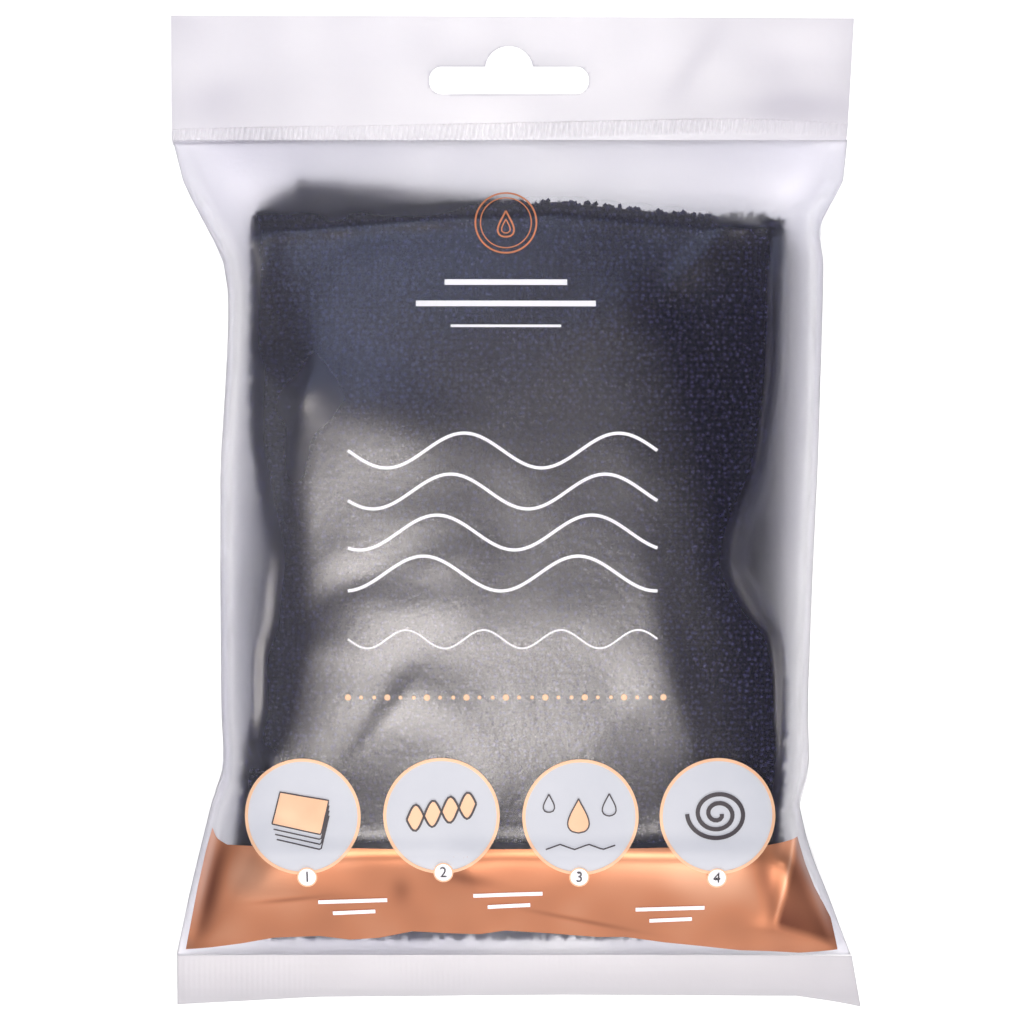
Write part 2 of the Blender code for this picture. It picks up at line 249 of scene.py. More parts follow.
def pick(obj):
    """One object selected and active."""
    deselect()
    obj.select_set(True)
    bpy.context.view_layer.objects.active = obj


def edit_all(*steps):
    """Operators with their settings, run in turn in edit mode with all of the active piece selected."""
    bpy.ops.object.mode_set(mode="EDIT")
    bpy.ops.mesh.select_all(action="SELECT")
    for operator, settings in steps:
        operator(**settings)
    bpy.ops.object.mode_set(mode="OBJECT")


def apply_modifiers(obj):
    """Every modifier made part of the mesh."""
    pick(obj)
    for modifier in list(obj.modifiers):
        bpy.ops.object.modifier_apply(modifier=modifier.name)


def grid_piece(name, columns, rows, places):
    """A grid primitive whose points are then set to places, an array of rows of points."""
    deselect()
    bpy.ops.mesh.primitive_grid_add(x_subdivisions=columns, y_subdivisions=rows, size=1)
    piece = bpy.context.object
    piece.name = name
    piece.data.name = name
    piece.data.vertices.foreach_set("co", places.astype(np.float32).ravel())
    piece.data.update()
    return piece


def thicken(piece, thickness, offset):
    """A wall given to a sheet, behind its faces (offset -1) or half on each side (offset 0)."""
    wall = piece.modifiers.new("wall", "SOLIDIFY")
    wall.thickness = thickness
    wall.offset = offset
    apply_modifiers(piece)


def mark_points(piece, name, values):
    """A number for each point of the piece, which its material reads by this name."""
    values = np.asarray(values).astype(np.float32).ravel()
    piece.data.attributes.new(name, "FLOAT", "POINT").data.foreach_set("value", values)


def finish_piece(piece, slot, *stands_for):
    """The piece rides with the packet and hides the frame's parts that it stands for; slot is not used."""
    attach(piece, "root")
    if stands_for:
        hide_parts(*stands_for)
    print(piece.name, "faces:", len(piece.data.polygons))
    return piece


# %% [markdown]
# ## The filling
# The frame's solids give the packet its plain level. On the real one the filling rounds up over it, highest
# left of the middle, and the lower end runs out to the seal as a wedge. Both are smooth changes of height,
# so two formulas say them best, and cloth and film both follow them.

# %% Filling
PUFF_MIDDLE = (430, 580)
PUFF_REACH = {"left": 215, "right": 360, "up": 370, "down": 300}
PUFF_HEIGHT = 3.2 * MM
PUFF_ROUNDNESS = 1.15
FOOT_FROM, FOOT_TO = 845, 950
FOOT_SHARE = 0.30
FOOT_CURVE = 1.3


def puff(xs, ys):
    """How far the filling rounds up over the frame's plain level."""
    px, py = photo_pixels(xs, ys)
    off_x, off_y = px - PUFF_MIDDLE[0], py - PUFF_MIDDLE[1]
    off_x = off_x / np.where(off_x < 0, PUFF_REACH["left"], PUFF_REACH["right"])
    off_y = off_y / np.where(off_y < 0, PUFF_REACH["up"], PUFF_REACH["down"])
    return PUFF_HEIGHT * np.clip(1 - off_x**2 - off_y**2, 0, 1) ** PUFF_ROUNDNESS


def foot_level(ys, zs):
    """Heights with the lower end of the packet drawn down to the seal."""
    down = rise(photo_pixels(0, ys)[1], FOOT_FROM, FOOT_TO - FOOT_FROM)
    keep = 1 - (1 - FOOT_SHARE) * down**FOOT_CURVE
    return np.where(zs > WELD_LEVEL, WELD_LEVEL + (zs - WELD_LEVEL) * keep, zs)


print("the filling rounds up by", round(PUFF_HEIGHT / MM, 1), "mm")

# %% [markdown]
# ## Folds
# Film that is pulled over a soft filling folds in fans and creases that start at its edges. Each fold is a
# ridge from one place to another that grows from nothing, steep on one side and gentle on the other. The
# cloth takes most of every fold and the film all of it, so that the cloth stays close behind. A cloth
# simulation would find folds of its own, so the ones that the photograph shows are set from a table.

# %% Folds
CLOTH_FOLLOWS = 0.75
FOLD_SHARPNESS = 1.6
FOLD_GROWTH = 0.7
FOLD_START_WIDTH = 0.35
FOLD_FADE_FROM = 0.85
FOLD_FADE_REACH = 2.6
WANDER_STRENGTH = 1.6
# Folds in photo pixels. A fold runs from x0, y0 to x1, y1 and grows to its height in mm. The last two
# numbers are its widths in pixels, on the side to the left of that run and on the other side
FOLDS = {
    "left_ridge": (262, 618, 312, 390, 2.6, 26, 140),
    "under_fan": (268, 640, 450, 560, 0.65, 26, 90),
    "lower_left": (262, 800, 300, 690, 1.0, 22, 100),
    "lower_crease": (340, 775, 420, 680, 0.7, 16, 90),
    "middle_streak": (700, 775, 645, 590, 0.8, 60, 30),
    "upper_right_ridge": (650, 310, 735, 222, 1.2, 16, 26),
    "left_top": (240, 350, 285, 385, 0.7, 20, 14),
    "left_top_low": (262, 440, 318, 385, 0.5, 20, 14),
    "left_bottom": (232, 690, 270, 760, 0.9, 16, 14),
    "foot_left": (208, 945, 262, 846, 1.6, 16, 40),
    "foot_wrinkle": (430, 900, 240, 885, 1.0, 16, 26),
    "foot_middle": (505, 935, 470, 868, 1.0, 22, 18),
    "foot_right": (772, 936, 790, 836, 3.0, 18, 46),
    "foot_right_low": (838, 945, 772, 930, 1.2, 14, 14),
    "corner_fold": (818, 196, 748, 233, 2.2, 8, 14),
    "right_gusset": (803, 660, 806, 170, 0.9, 16, 5),
}


def fold_heights(xs, ys):
    """How far the folds lift the film at each place."""
    lift = np.zeros_like(xs)
    for x0, y0, x1, y1, height, near, far in FOLDS.values():
        start, end = np.array(spot(x0, y0)), np.array(spot(x1, y1))
        run = end - start
        length = np.linalg.norm(run)
        along = ((xs - start[0]) * run[0] + (ys - start[1]) * run[1]) / length**2
        off = ((xs - start[0]) * run[1] - (ys - start[1]) * run[0]) / length
        share = np.clip(along, 0, 1)
        width = np.where(off < 0, near, far) * PHOTO_PIXEL
        width = width * (FOLD_START_WIDTH + (1 - FOLD_START_WIDTH) * share)
        past = np.clip(along - FOLD_FADE_FROM, 0, None) * length
        fade = np.exp(-(past / (min(near, far) * FOLD_FADE_REACH * PHOTO_PIXEL)) ** 2) * (along > 0)
        lift += height * MM * share**FOLD_GROWTH * fade * np.exp(-np.abs(off / width) ** FOLD_SHARPNESS)
    return lift


def cloth_lift(xs, ys):
    """How far the cloth stands over the frame's plain level: the puff and its share of the folds."""
    return puff(xs, ys) + CLOTH_FOLLOWS * fold_heights(xs, ys)


def wander(xs, ys, size, seed):
    """Soft random unevenness with lumps of this size, from about -1 to 1."""
    flat = [noise.noise(Vector((x / size, y / size, seed))) for x, y in zip(xs.ravel(), ys.ravel())]
    return np.array(flat).reshape(xs.shape) * WANDER_STRENGTH


print("folds:", len(FOLDS))

# %% [markdown]
# ## Terry cloth: the folded sheet
# The turban is one sheet, folded double and then to and fro in four runs. The frame holds that sheet as a
# faceted solid. A copy of it is merged, its triangles are joined to quads and two levels of subdivision
# round its folds and hems. Weaving the cloth itself would take millions of faces, so the ground weave
# stays a bump, and only the loops that stand off the surface become geometry later on.

# %% Terry sheet
MERGE_WITHIN = 0.01 * MM
JOIN_ANGLES = {"face_threshold": math.radians(50), "shape_threshold": math.radians(70)}
ROUNDING_LEVELS = 2


def plain_copy(node, name):
    """A copy of a frame node as a piece of its own."""
    piece = nodes[node].copy()
    piece.data = nodes[node].data.copy()
    piece.name = name
    piece.data.name = name
    piece.parent = None
    for key in [k for k in piece.keys() if k.startswith("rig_")]:
        del piece[key]
    piece.data.materials.clear()
    bpy.context.scene.collection.objects.link(piece)
    return piece


towel = plain_copy("folded_towel", "towel")
pick(towel)
edit_all(
    (bpy.ops.mesh.remove_doubles, {"threshold": MERGE_WITHIN}),
    (bpy.ops.mesh.tris_convert_to_quads, JOIN_ANGLES),
)
rounding = towel.modifiers.new("rounding", "SUBSURF")
rounding.levels = ROUNDING_LEVELS
rounding.render_levels = ROUNDING_LEVELS
apply_modifiers(towel)
print("rounded towel has", len(towel.data.vertices), "points")

# %% [markdown]
# ## Terry cloth: pulled to shape
# The packet isn't a neat block. Its top flap runs a little askew, the layer behind it shows a corner that
# leans inwards, and the film pulls both sides in as soft bays. Each of these is a short table of shifts in
# photo pixels, read off between its points and faded out into the cloth. Sculpting would do the same by
# hand, but it couldn't be written down.

# %% Towel shape
PUFF_FROM, PUFF_TO = 9 * MM, 22 * MM
FLAP_LEVEL = 17.5 * MM
# How far down the flap's top edge moves at each column, faded out between these rows
FLAP_SHIFT = [(240, 14), (262, 12), (300, 11), (440, 0), (554, -11), (727, 4), (760, 8), (785, 10)]
FLAP_FADE = (230, 330)
# The layer behind the flap has a corner that leans right and down, within reach of this pixel
LAYER_LEVEL = 4 * MM
FOLD_CORNER = (262, 178)
CORNER_CORE, CORNER_REACH = 4, 42
CORNER_FLATNESS = 0.8
CORNER_SHIFT = (24, 10)
# How far each side is drawn in at each row, faded out between these columns and these levels
RIGHT_PULL = [
    (205, 6), (250, 13), (380, 15), (470, 23), (520, 36),
    (552, 52), (580, 40), (625, 8), (680, 2), (760, 0),
]
LEFT_PULL = [(420, 0), (500, 12), (560, 22), (620, 20), (660, 6), (700, 12), (745, 0)]
RIGHT_FADE, LEFT_FADE = (690, 780), (248, 320)
PULL_LEVELS = (6 * MM, 12 * MM)


def smooth_share(value, low, high):
    """0 below low, 1 above high, and a smooth step between."""
    t = min(max((value - low) / (high - low), 0), 1)
    return t * t * (3 - 2 * t)


for vertex in towel.data.vertices:
    co = vertex.co
    px, py = photo_pixels(co.x, co.y)
    if co.z > FLAP_LEVEL:
        co.y -= read_off(FLAP_SHIFT, px) * PHOTO_PIXEL * (1 - smooth_share(py, *FLAP_FADE))
    elif co.z > LAYER_LEVEL:
        off = math.hypot(px - FOLD_CORNER[0], (py - FOLD_CORNER[1]) * CORNER_FLATNESS)
        near = 1 - smooth_share(off, CORNER_CORE, CORNER_REACH)
        co.x += CORNER_SHIFT[0] * PHOTO_PIXEL * near
        co.y -= CORNER_SHIFT[1] * PHOTO_PIXEL * near
    raised = smooth_share(co.z, *PULL_LEVELS)
    co.x -= read_off(RIGHT_PULL, py) * PHOTO_PIXEL * smooth_share(px, *RIGHT_FADE) * raised
    co.x += read_off(LEFT_PULL, py) * PHOTO_PIXEL * (1 - smooth_share(px, *LEFT_FADE)) * raised
points = np.array([vertex.co for vertex in towel.data.vertices])
share = rise(points[:, 2], PUFF_FROM, PUFF_TO - PUFF_FROM)
points[:, 2] = foot_level(points[:, 1], points[:, 2] + share * cloth_lift(points[:, 0], points[:, 1]))
towel.data.vertices.foreach_set("co", points.astype(np.float32).ravel())
towel.data.update()
bpy.ops.object.shade_smooth()
finish_piece(towel, "terry", "folded_towel")

# %% [markdown]
# ## Terry cloth: room for the loops
# Terry is covered with loops about a millimetre across. Through the film they show as a fine grain, and
# along the edges as a fuzzy outline. At the sides and at the back the film leaves them little room, so a ray
# cast outwards from each loop's foot says how tall it may grow. On the front the film is laid over the
# loops later, so they have their full height there.

# %% Loop room
LOOP_PITCH = 1.05 * MM
LOOP_SIZE = (0.54 * MM, 0.46 * MM, 0.62 * MM)
LOOP_SINK = 0.1 * MM
TALLEST_LOOP = 2.3 * LOOP_SIZE[2] - LOOP_SINK
FACING_UP = 0.5
FEELER = 4 * MM
SKIN_GAP = 0.35 * MM


def room_for_loop(place, normal, lift):
    """The share of its full height that a loop may have before it meets the film at its side or back."""
    if normal.z > FACING_UP:
        return 1.0
    solid = film_tree if normal.z > 0 else back_tree
    if normal.z > 0:
        place = place - Vector((0, 0, lift))
    wall = solid.ray_cast(place + normal * 0.05 * MM, normal, FEELER)[0]
    if wall is None:
        return 1.0
    free = (wall - place).length - SKIN_GAP
    return min(1.0, free / TALLEST_LOOP)


print("the tallest loops stand", round(TALLEST_LOOP / MM, 2), "mm off the cloth")

# %% [markdown]
# ## Terry cloth: one loop
# Each loop is one small rounded knot of eight faces that leans a little its own way. More faces wouldn't
# show, because there are tens of thousands of loops. All the knots of one side are joined in one mesh, and
# each point remembers how near the tip of its loop it is.

# %% Loop knots
LOOP_SPREAD = (0.8, 1.2)
LOOP_LEAN = 0.22
LEAST_LOOP = 0.3
TIP_SPREAD = (0.35, 1.0)
KNOT_POINTS = np.array([(1, 0, 0), (0, 1, 0), (-1, 0, 0), (0, -1, 0), (0, 0, 1), (0, 0, -1)], float)
KNOT_TIPS = np.array([0.3, 0.3, 0.3, 0.3, 1.0, 0.0])
KNOT_FACES = np.array(
    [(0, 1, 4), (1, 2, 4), (2, 3, 4), (3, 0, 4), (1, 0, 5), (2, 1, 5), (3, 2, 5), (0, 3, 5)]
)


def unit(vectors):
    """The same directions with length 1."""
    return vectors / np.linalg.norm(vectors, axis=1, keepdims=True)


def knots_mesh(name, places, normals, dice):
    """All the loops at these places in one mesh."""
    lifts = cloth_lift(*np.array(places)[:, :2].T)
    room = [room_for_loop(Vector(p), Vector(n), lift) for p, n, lift in zip(places, normals, lifts)]
    room = np.array(room)
    kept = room > LEAST_LOOP
    tall = room[kept, None]
    places, normals = np.array(places)[kept], np.array(normals)[kept]
    count = len(places)
    up = unit(normals + dice.normal(0, LOOP_LEAN, (count, 3)))
    side = unit(np.cross(up, dice.normal(0, 1, (count, 3))))
    across = np.cross(up, side)
    size = np.array(LOOP_SIZE) * dice.uniform(*LOOP_SPREAD, (count, 1))
    size[:, 2:] *= tall
    middles = places + up * (size[:, 2:] - LOOP_SINK)
    points = middles[:, None, :] + (
        KNOT_POINTS[None, :, :1] * (side * size[:, :1])[:, None, :]
        + KNOT_POINTS[None, :, 1:2] * (across * size[:, 1:2])[:, None, :]
        + KNOT_POINTS[None, :, 2:] * (up * size[:, 2:])[:, None, :]
    )
    faces = KNOT_FACES[None] + (np.arange(count) * len(KNOT_POINTS))[:, None, None]
    mesh = bpy.data.meshes.new(name)
    mesh.from_pydata(points.reshape(-1, 3).tolist(), [], faces.reshape(-1, 3).tolist())
    mesh.shade_smooth()
    piece = bpy.data.objects.new(name, mesh)
    bpy.context.scene.collection.objects.link(piece)
    mark_points(piece, "tip", KNOT_TIPS[None] * dice.uniform(*TIP_SPREAD, (count, 1)))
    return piece


print("faces of a knot:", len(KNOT_FACES))

# %% [markdown]
# ## Terry cloth: rows of loops
# The loom leaves the loops in rows that wander a little. Rays cast on the front and back find the places of
# those rows, and the hems and folds round the sides get loops face by face, as many as their area asks for.
# A particle system could scatter them, but plain arrays keep the rows.

# %% Loop rows
BACK_PITCH = 1.35 * LOOP_PITCH
ROW_WANDER = (0.22, 0.10)
SIDE_FACING = 0.75
towel_tree = ray_tree(towel)
points = np.array([vertex.co for vertex in towel.data.vertices])
towel_low, towel_high = Vector(points.min(axis=0).tolist()), Vector(points.max(axis=0).tolist())


def rows_of_loops(side, pitch, dice):
    """Places and normals of loops in rows over the towel's front (side 1) or back (side -1)."""
    places = []
    normals = []
    for y in np.arange(towel_low.y - pitch, towel_high.y + pitch, pitch):
        for x in np.arange(towel_low.x - pitch, towel_high.x + pitch, pitch):
            loop_x = x + dice.normal(0, ROW_WANDER[0]) * pitch
            loop_y = y + dice.normal(0, ROW_WANDER[1]) * pitch
            start = Vector((loop_x, loop_y, side * RAY_FROM))
            hit, normal, _, _ = towel_tree.ray_cast(start, Vector((0, 0, -side)))
            if hit:
                places.append(tuple(hit))
                normals.append(tuple(normal))
    return places, normals


def edge_loops(pitch, dice):
    """Places and normals of loops on the hems and folds round the towel's sides."""
    places = []
    normals = []
    mesh = towel.data
    for face in mesh.polygons:
        normal = face.normal
        if abs(normal.z) > SIDE_FACING:
            continue
        away = Vector((normal.x, normal.y, 0)).normalized()
        if towel_tree.ray_cast(face.center + normal * 0.2 * MM, away, FEELER)[0]:
            continue
        wanted = face.area / pitch**2
        count = int(wanted) + (dice.uniform() < wanted - int(wanted))
        corners = [mesh.vertices[i].co for i in face.vertices]
        for _ in range(count):
            weights = dice.dirichlet([1.0] * len(corners))
            place = sum((c * w for c, w in zip(corners, weights)), Vector())
            places.append(tuple(place))
            normals.append(tuple(normal))
    return places, normals


dice = np.random.default_rng(11)
front_loops = knots_mesh("front_loops", *rows_of_loops(1, LOOP_PITCH, dice), dice)
back_loops = knots_mesh("back_loops", *rows_of_loops(-1, BACK_PITCH, dice), dice)
hem_loops = knots_mesh("hem_loops", *edge_loops(LOOP_PITCH, dice), dice)
for loops in (front_loops, back_loops, hem_loops):
    finish_piece(loops, "terry")

# %% [markdown]
# ## Building materials
# Every finish here is built from the same few nodes: a noise or a number stored on the points, a colour
# ramp that turns it into colour, and a bump for grain too fine to model. Each gets a helper, so that the
# cells of the finishes read like recipes.

# %% Material helpers


def new_material(name):
    """A material with its node tree, its main shader and the coordinates that patterns read."""
    material = bpy.data.materials.new(name)
    material.use_nodes = True
    tree = material.node_tree
    shader = tree.nodes["Principled BSDF"]
    place = tree.nodes.new("ShaderNodeTexCoord").outputs["Object"]
    return material, tree, shader, place


def mark_value(tree, name):
    """The number of this name that mark_points left on a piece."""
    node = tree.nodes.new("ShaderNodeAttribute")
    node.attribute_name = name
    return node.outputs["Fac"]


def noise_texture(tree, place, scale, detail=3.0, roughness=0.5):
    """A noise pattern; its scale counts lumps to the metre."""
    texture = tree.nodes.new("ShaderNodeTexNoise")
    texture.inputs["Scale"].default_value = scale
    texture.inputs["Detail"].default_value = detail
    texture.inputs["Roughness"].default_value = roughness
    tree.links.new(place, texture.inputs["Vector"])
    return texture.outputs["Fac"]


def colours(tree, value, stops):
    """A colour ramp over value, with stops of position and colour."""
    ramp = tree.nodes.new("ShaderNodeValToRGB")
    while len(ramp.color_ramp.elements) < len(stops):
        ramp.color_ramp.elements.new(0.5)
    for element, (position, colour) in zip(ramp.color_ramp.elements, stops):
        element.position = position
        element.color = colour
    tree.links.new(value, ramp.inputs["Fac"])
    return ramp.outputs["Color"]


def bumped(tree, shader, value, distance, strength=1.0):
    """A bump of this depth in metres on a shader."""
    bump = tree.nodes.new("ShaderNodeBump")
    bump.inputs["Distance"].default_value = distance
    bump.inputs["Strength"].default_value = strength
    tree.links.new(value, bump.inputs["Height"])
    tree.links.new(bump.outputs["Normal"], shader.inputs["Normal"])


print("materials so far:", len(bpy.data.materials))

# %% [markdown]
# ## Terry finish
# The yarn is a very dark blue-grey. A ramp reads the colour off each point's nearness to the tip of its
# loop: it is nearly black deep between the loops as painted shade, and paler at the tips as painted light.
# Wool-like fibre scatters light at grazing angles, which the sheen does, and a fine noise roughens each loop
# like spun yarn.

# %% Terry material
# From a loop's foot to its tip: painted shade deep between the loops, painted light on the tips
YARN_PAINTED_SHADE_STOPS = [
    (0.0, (0.001, 0.001, 0.013, 1)), (0.3, (0.004, 0.004, 0.034, 1)), (1.0, (0.062, 0.062, 0.160, 1)),
]
YARN_BUMPS_PER_METRE = 4200
YARN_BUMP = 0.12 * MM
terry, tree, shader, place = new_material("terry_yarn")
tree.links.new(colours(tree, mark_value(tree, "tip"), YARN_PAINTED_SHADE_STOPS), shader.inputs["Base Color"])
shader.inputs["Roughness"].default_value = 0.9
shader.inputs["Specular IOR Level"].default_value = 0.3
shader.inputs["Sheen Weight"].default_value = 0.03
shader.inputs["Sheen Roughness"].default_value = 0.5
bumped(tree, shader, noise_texture(tree, place, YARN_BUMPS_PER_METRE), YARN_BUMP, 0.7)
for piece in (towel, front_loops, back_loops, hem_loops):
    piece.data.materials.append(terry)
print("yarn stops:", len(YARN_PAINTED_SHADE_STOPS))

# %% [markdown]
# ## Film: a grid over the outline
# The pouch is thin frosted film. Each panel starts as a grid over the frame's own outline, which rays cast
# from both sides find row by row. The grid's lines lie closer together near the rims, where the film bends
# most. A flat plane cut to shape would need far more faces for the same bends.

# %% Film grid
FILM_WALL = 0.08 * MM
FILM_COLUMNS, FILM_ROWS = 190, 220
ABOVE_WELD = 0.2 * MM
END_MARGIN, SIDE_MARGIN = 0.05 * MM, 0.02 * MM
CROWD_ROWS, CROWD_COLUMNS = 0.35, 0.6


def crowded(count, crowd):
    """Steps from 0 to 1 that lie closer together at both ends, more so with a larger crowd."""
    even = np.linspace(0, 1, count + 1)
    return (1 - np.cos(np.pi * even)) / 2 * crowd + even * (1 - crowd)


def panel_grid(node, columns, rows, side):
    """Places over a film panel: X and Y follow the frame's outline."""
    low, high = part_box(node)
    tree = ray_tree(nodes[node])
    level = (low.z if side > 0 else high.z) + side * ABOVE_WELD
    ys = low.y + END_MARGIN + crowded(rows, CROWD_ROWS) * (high.y - low.y - 2 * END_MARGIN)
    across = crowded(columns, CROWD_COLUMNS)
    xs = []
    for y in ys:
        left = tree.ray_cast(Vector((-RAY_FROM, y, level)), Vector((1, 0, 0)))[0].x + SIDE_MARGIN
        right = tree.ray_cast(Vector((RAY_FROM, y, level)), Vector((-1, 0, 0)))[0].x - SIDE_MARGIN
        xs.append(left + across * (right - left))
    return np.array(xs), np.repeat(ys[:, None], columns + 1, axis=1), tree


xs, ys, tree = panel_grid("front_film", FILM_COLUMNS, FILM_ROWS, 1)
film_px, film_py = photo_pixels(xs, ys)
print("front panel grid:", xs.shape)

# %% [markdown]
# ## Film: pressed on the cloth
# Where the film lies on the cloth it is pressed down to the tips of the loops, and where the filling pulls
# it, it stands off in folds, which catch the light. The panel takes the height of the frame's solid with
# the filling's puff, less what presses it down, plus the folds and a little unevenness, and it never goes
# under the cloth.

# %% Film over the cloth
TOUCH_GAP = 0.35 * MM
RIM_OVER = 0.5 * MM
WANDER_HEIGHT, WANDER_SIZE = 0.12 * MM, 14 * MM
FLAP_FOOT = 850
FOLD_ZONE = {"inward": 3 * MM, "foot": (842, 3 * MM), "seal": (952, 2 * MM)}
RIGHT_ZONE = {"side": (745, 5 * MM), "low": (760, 8 * MM)}


def neighbours_least(grid):
    """The least of each inner point and its four neighbours."""
    return np.minimum.reduce(
        [grid[1:-1, 1:-1], grid[:-2, 1:-1], grid[2:, 1:-1], grid[1:-1, :-2], grid[1:-1, 2:]]
    )


rim = heights(tree, xs, ys)
rim = np.where(np.isnan(rim), WELD_LEVEL + RIM_OVER, rim)
rim = foot_level(ys, evened(rim, 4) + evened(puff(xs, ys), 6))
rim = evened(rim, 6)
cloth = heights(towel_tree, xs, ys)
covered = ~np.isnan(cloth)
pile = 2.2 * LOOP_SIZE[2] - LOOP_SINK + TOUCH_GAP
on_flap = covered & (cloth - puff(xs, ys) > FLAP_LEVEL) & (ys > spot(0, FLAP_FOOT)[1])
folded = fold_heights(xs, ys)
press = np.where(on_flap, np.clip(rim + CLOTH_FOLLOWS * folded - cloth - pile, 0, None), 0)
for _ in range(3):
    press[1:-1, 1:-1] = neighbours_least(press)
press = evened(press, 12)
# The folds have room over the cloth, at the foot and on the right, and fade out towards the rims
room = np.clip(evened(covered.astype(float), 20) * 1.5 - 0.5, 0, 1)
inward = rise(np.minimum(xs - xs[:, :1], xs[:, -1:] - xs), 0, FOLD_ZONE["inward"])
foot = fall(ys, spot(0, FOLD_ZONE["foot"][0])[1], FOLD_ZONE["foot"][1])
foot = foot * rise(ys, spot(0, FOLD_ZONE["seal"][0])[1], FOLD_ZONE["seal"][1])
right_side = rise(xs, spot(RIGHT_ZONE["side"][0], 0)[0], RIGHT_ZONE["side"][1])
right_side = right_side * rise(ys, spot(0, RIGHT_ZONE["low"][0])[1], RIGHT_ZONE["low"][1])
room = np.maximum(room, inward * np.maximum(foot, right_side))
lifted = rim - press + room * (folded + WANDER_HEIGHT * wander(xs, ys, WANDER_SIZE, 3.0))
front_z = np.where(covered & (cloth > FLAP_LEVEL), np.maximum(lifted, cloth + pile), lifted)
at_most_rim = np.minimum(cloth + pile, rim)
front_z = np.where(covered & (cloth <= FLAP_LEVEL), np.maximum(front_z, at_most_rim), front_z)
front_z = evened(front_z, 4)
print("film touches the flap at", int(on_flap.sum()), "points")

# %% [markdown]
# ## Film: taut at the upper end
# Between the header and the flap the film is pulled taut. It leaves the weld, bows up a little and touches
# the flap along a wavy line. There the panel takes the lower of its two heights: its own, and that of the
# taut span.

# %% Taut film
SPAN_TOP = 142
TOUCH_LINE = [(240, 242), (300, 236), (440, 224), (554, 219), (727, 236), (790, 250)]
SPAN_BOW = 0.9 * MM
FOLDS_FROM, FOLDS_REACH = 700, 30
UPPER_END, UPPER_REACH = 212, 5 * MM
UPPER_LIFT = 0.2 * MM
RIM_MEET = 0.1 * MM
touch = read_off(TOUCH_LINE, film_px)
touch_z = [np.interp(-touch[-1, c], -film_py[:, c], front_z[:, c]) for c in range(FILM_COLUMNS + 1)]
touch_z = np.array(touch_z)
span = np.clip((film_py - SPAN_TOP) / (touch - SPAN_TOP), 0, 1)
taut = WELD_LEVEL + RIM_OVER + (touch_z - WELD_LEVEL - RIM_OVER) * span + SPAN_BOW * np.sin(np.pi * span)
taut = taut + room * folded * rise(film_px, FOLDS_FROM, FOLDS_REACH)
front_z = np.where(span < 1, np.minimum(front_z, taut), front_z)
front_z = evened(front_z, 2)
upper = rise(ys, spot(0, UPPER_END)[1], UPPER_REACH)
front_z = front_z + upper * (evened(front_z, 16) + UPPER_LIFT - front_z)
front_z[:, [0, -1]] = WELD_LEVEL + RIM_MEET

# %% [markdown]
# ## Film: the front panel
# The heights become a grid with a thin wall. Two numbers go on its points for the finish: how far the film
# stands off the cloth, which blurs what lies behind it, and how much of its sheen is kept. Painted shade
# takes the sheen away on the right, at the foot and over the lower half.

# %% Front panel
STAND_OFF_FULL = 3 * MM
HEM_ROWS, HEM_BLEND = 300, 40
# How much sheen the painted shade takes away on the right, at the foot and over the lower half
RIGHT_PAINTED_SHADE, FOOT_PAINTED_SHADE, LOW_PAINTED_SHADE = 0.93, 0.45, 0.30

front_panel = grid_piece("front_panel", FILM_COLUMNS, FILM_ROWS, np.stack([xs, ys, front_z], axis=2))
stand_off = np.where(on_flap, np.clip((front_z - cloth - pile) / STAND_OFF_FULL, 0, 1), 1)
hem = stand_off
for _ in range(3):
    hem = np.vstack([hem[:1], np.minimum.reduce([hem[1:-1], hem[:-2], hem[2:]]), hem[-1:]])
by_hem = fall(film_py, HEM_ROWS, HEM_BLEND)
stand_off = evened(hem, 2) * by_hem + evened(stand_off, 9) * (1 - by_hem)
mark_points(front_panel, "stand_off", stand_off)
# The places of painted shade in photo pixels: a leaning strip on the right, a band at the foot, and the
# lower half
right_shade_mask = rise(film_px - 600 - 0.28 * (film_py - 400), 0, 85) * fall(film_px, 800, 30)
right_shade_mask = right_shade_mask * (rise(film_py, 200, 120) * fall(film_py, 835, 60))
foot_shade_mask = rise(film_py, 735, 40) * fall(film_py, 865, 20)
low_shade_mask = rise(film_py, 570, 60)
coat_and_painted_shade = (1 - RIGHT_PAINTED_SHADE * right_shade_mask) * (1 - FOOT_PAINTED_SHADE * foot_shade_mask) * (1 - LOW_PAINTED_SHADE * low_shade_mask)
mark_points(front_panel, "coat_and_painted_shade", coat_and_painted_shade)
thicken(front_panel, FILM_WALL, -1)
bpy.ops.object.shade_smooth()
finish_piece(front_panel, "frosted_film", "front_film")

# %% [markdown]
# ## Loops under the film
# The film presses the tallest loops flat. Each point of a loop that would reach the film is lowered to a
# hair's breadth under it.

# %% Pressed loops
LOOP_CLEARANCE = 0.16 * MM
front_panel_tree = ray_tree(front_panel)
for loops in (front_loops, hem_loops):
    pressed = 0
    for vertex in loops.data.vertices:
        over = height_at(front_panel_tree, vertex.co.x, vertex.co.y)
        if vertex.co.z > over - LOOP_CLEARANCE:
            vertex.co.z = over - LOOP_CLEARANCE
            pressed += 1
    loops.data.update()
    print("points of", loops.name, "pressed down by the film:", pressed)

# %% [markdown]
# ## Film: the back panel
# The back lies on the table and is nearly flat there. It is the same kind of grid, read from below and
# turned to face down.

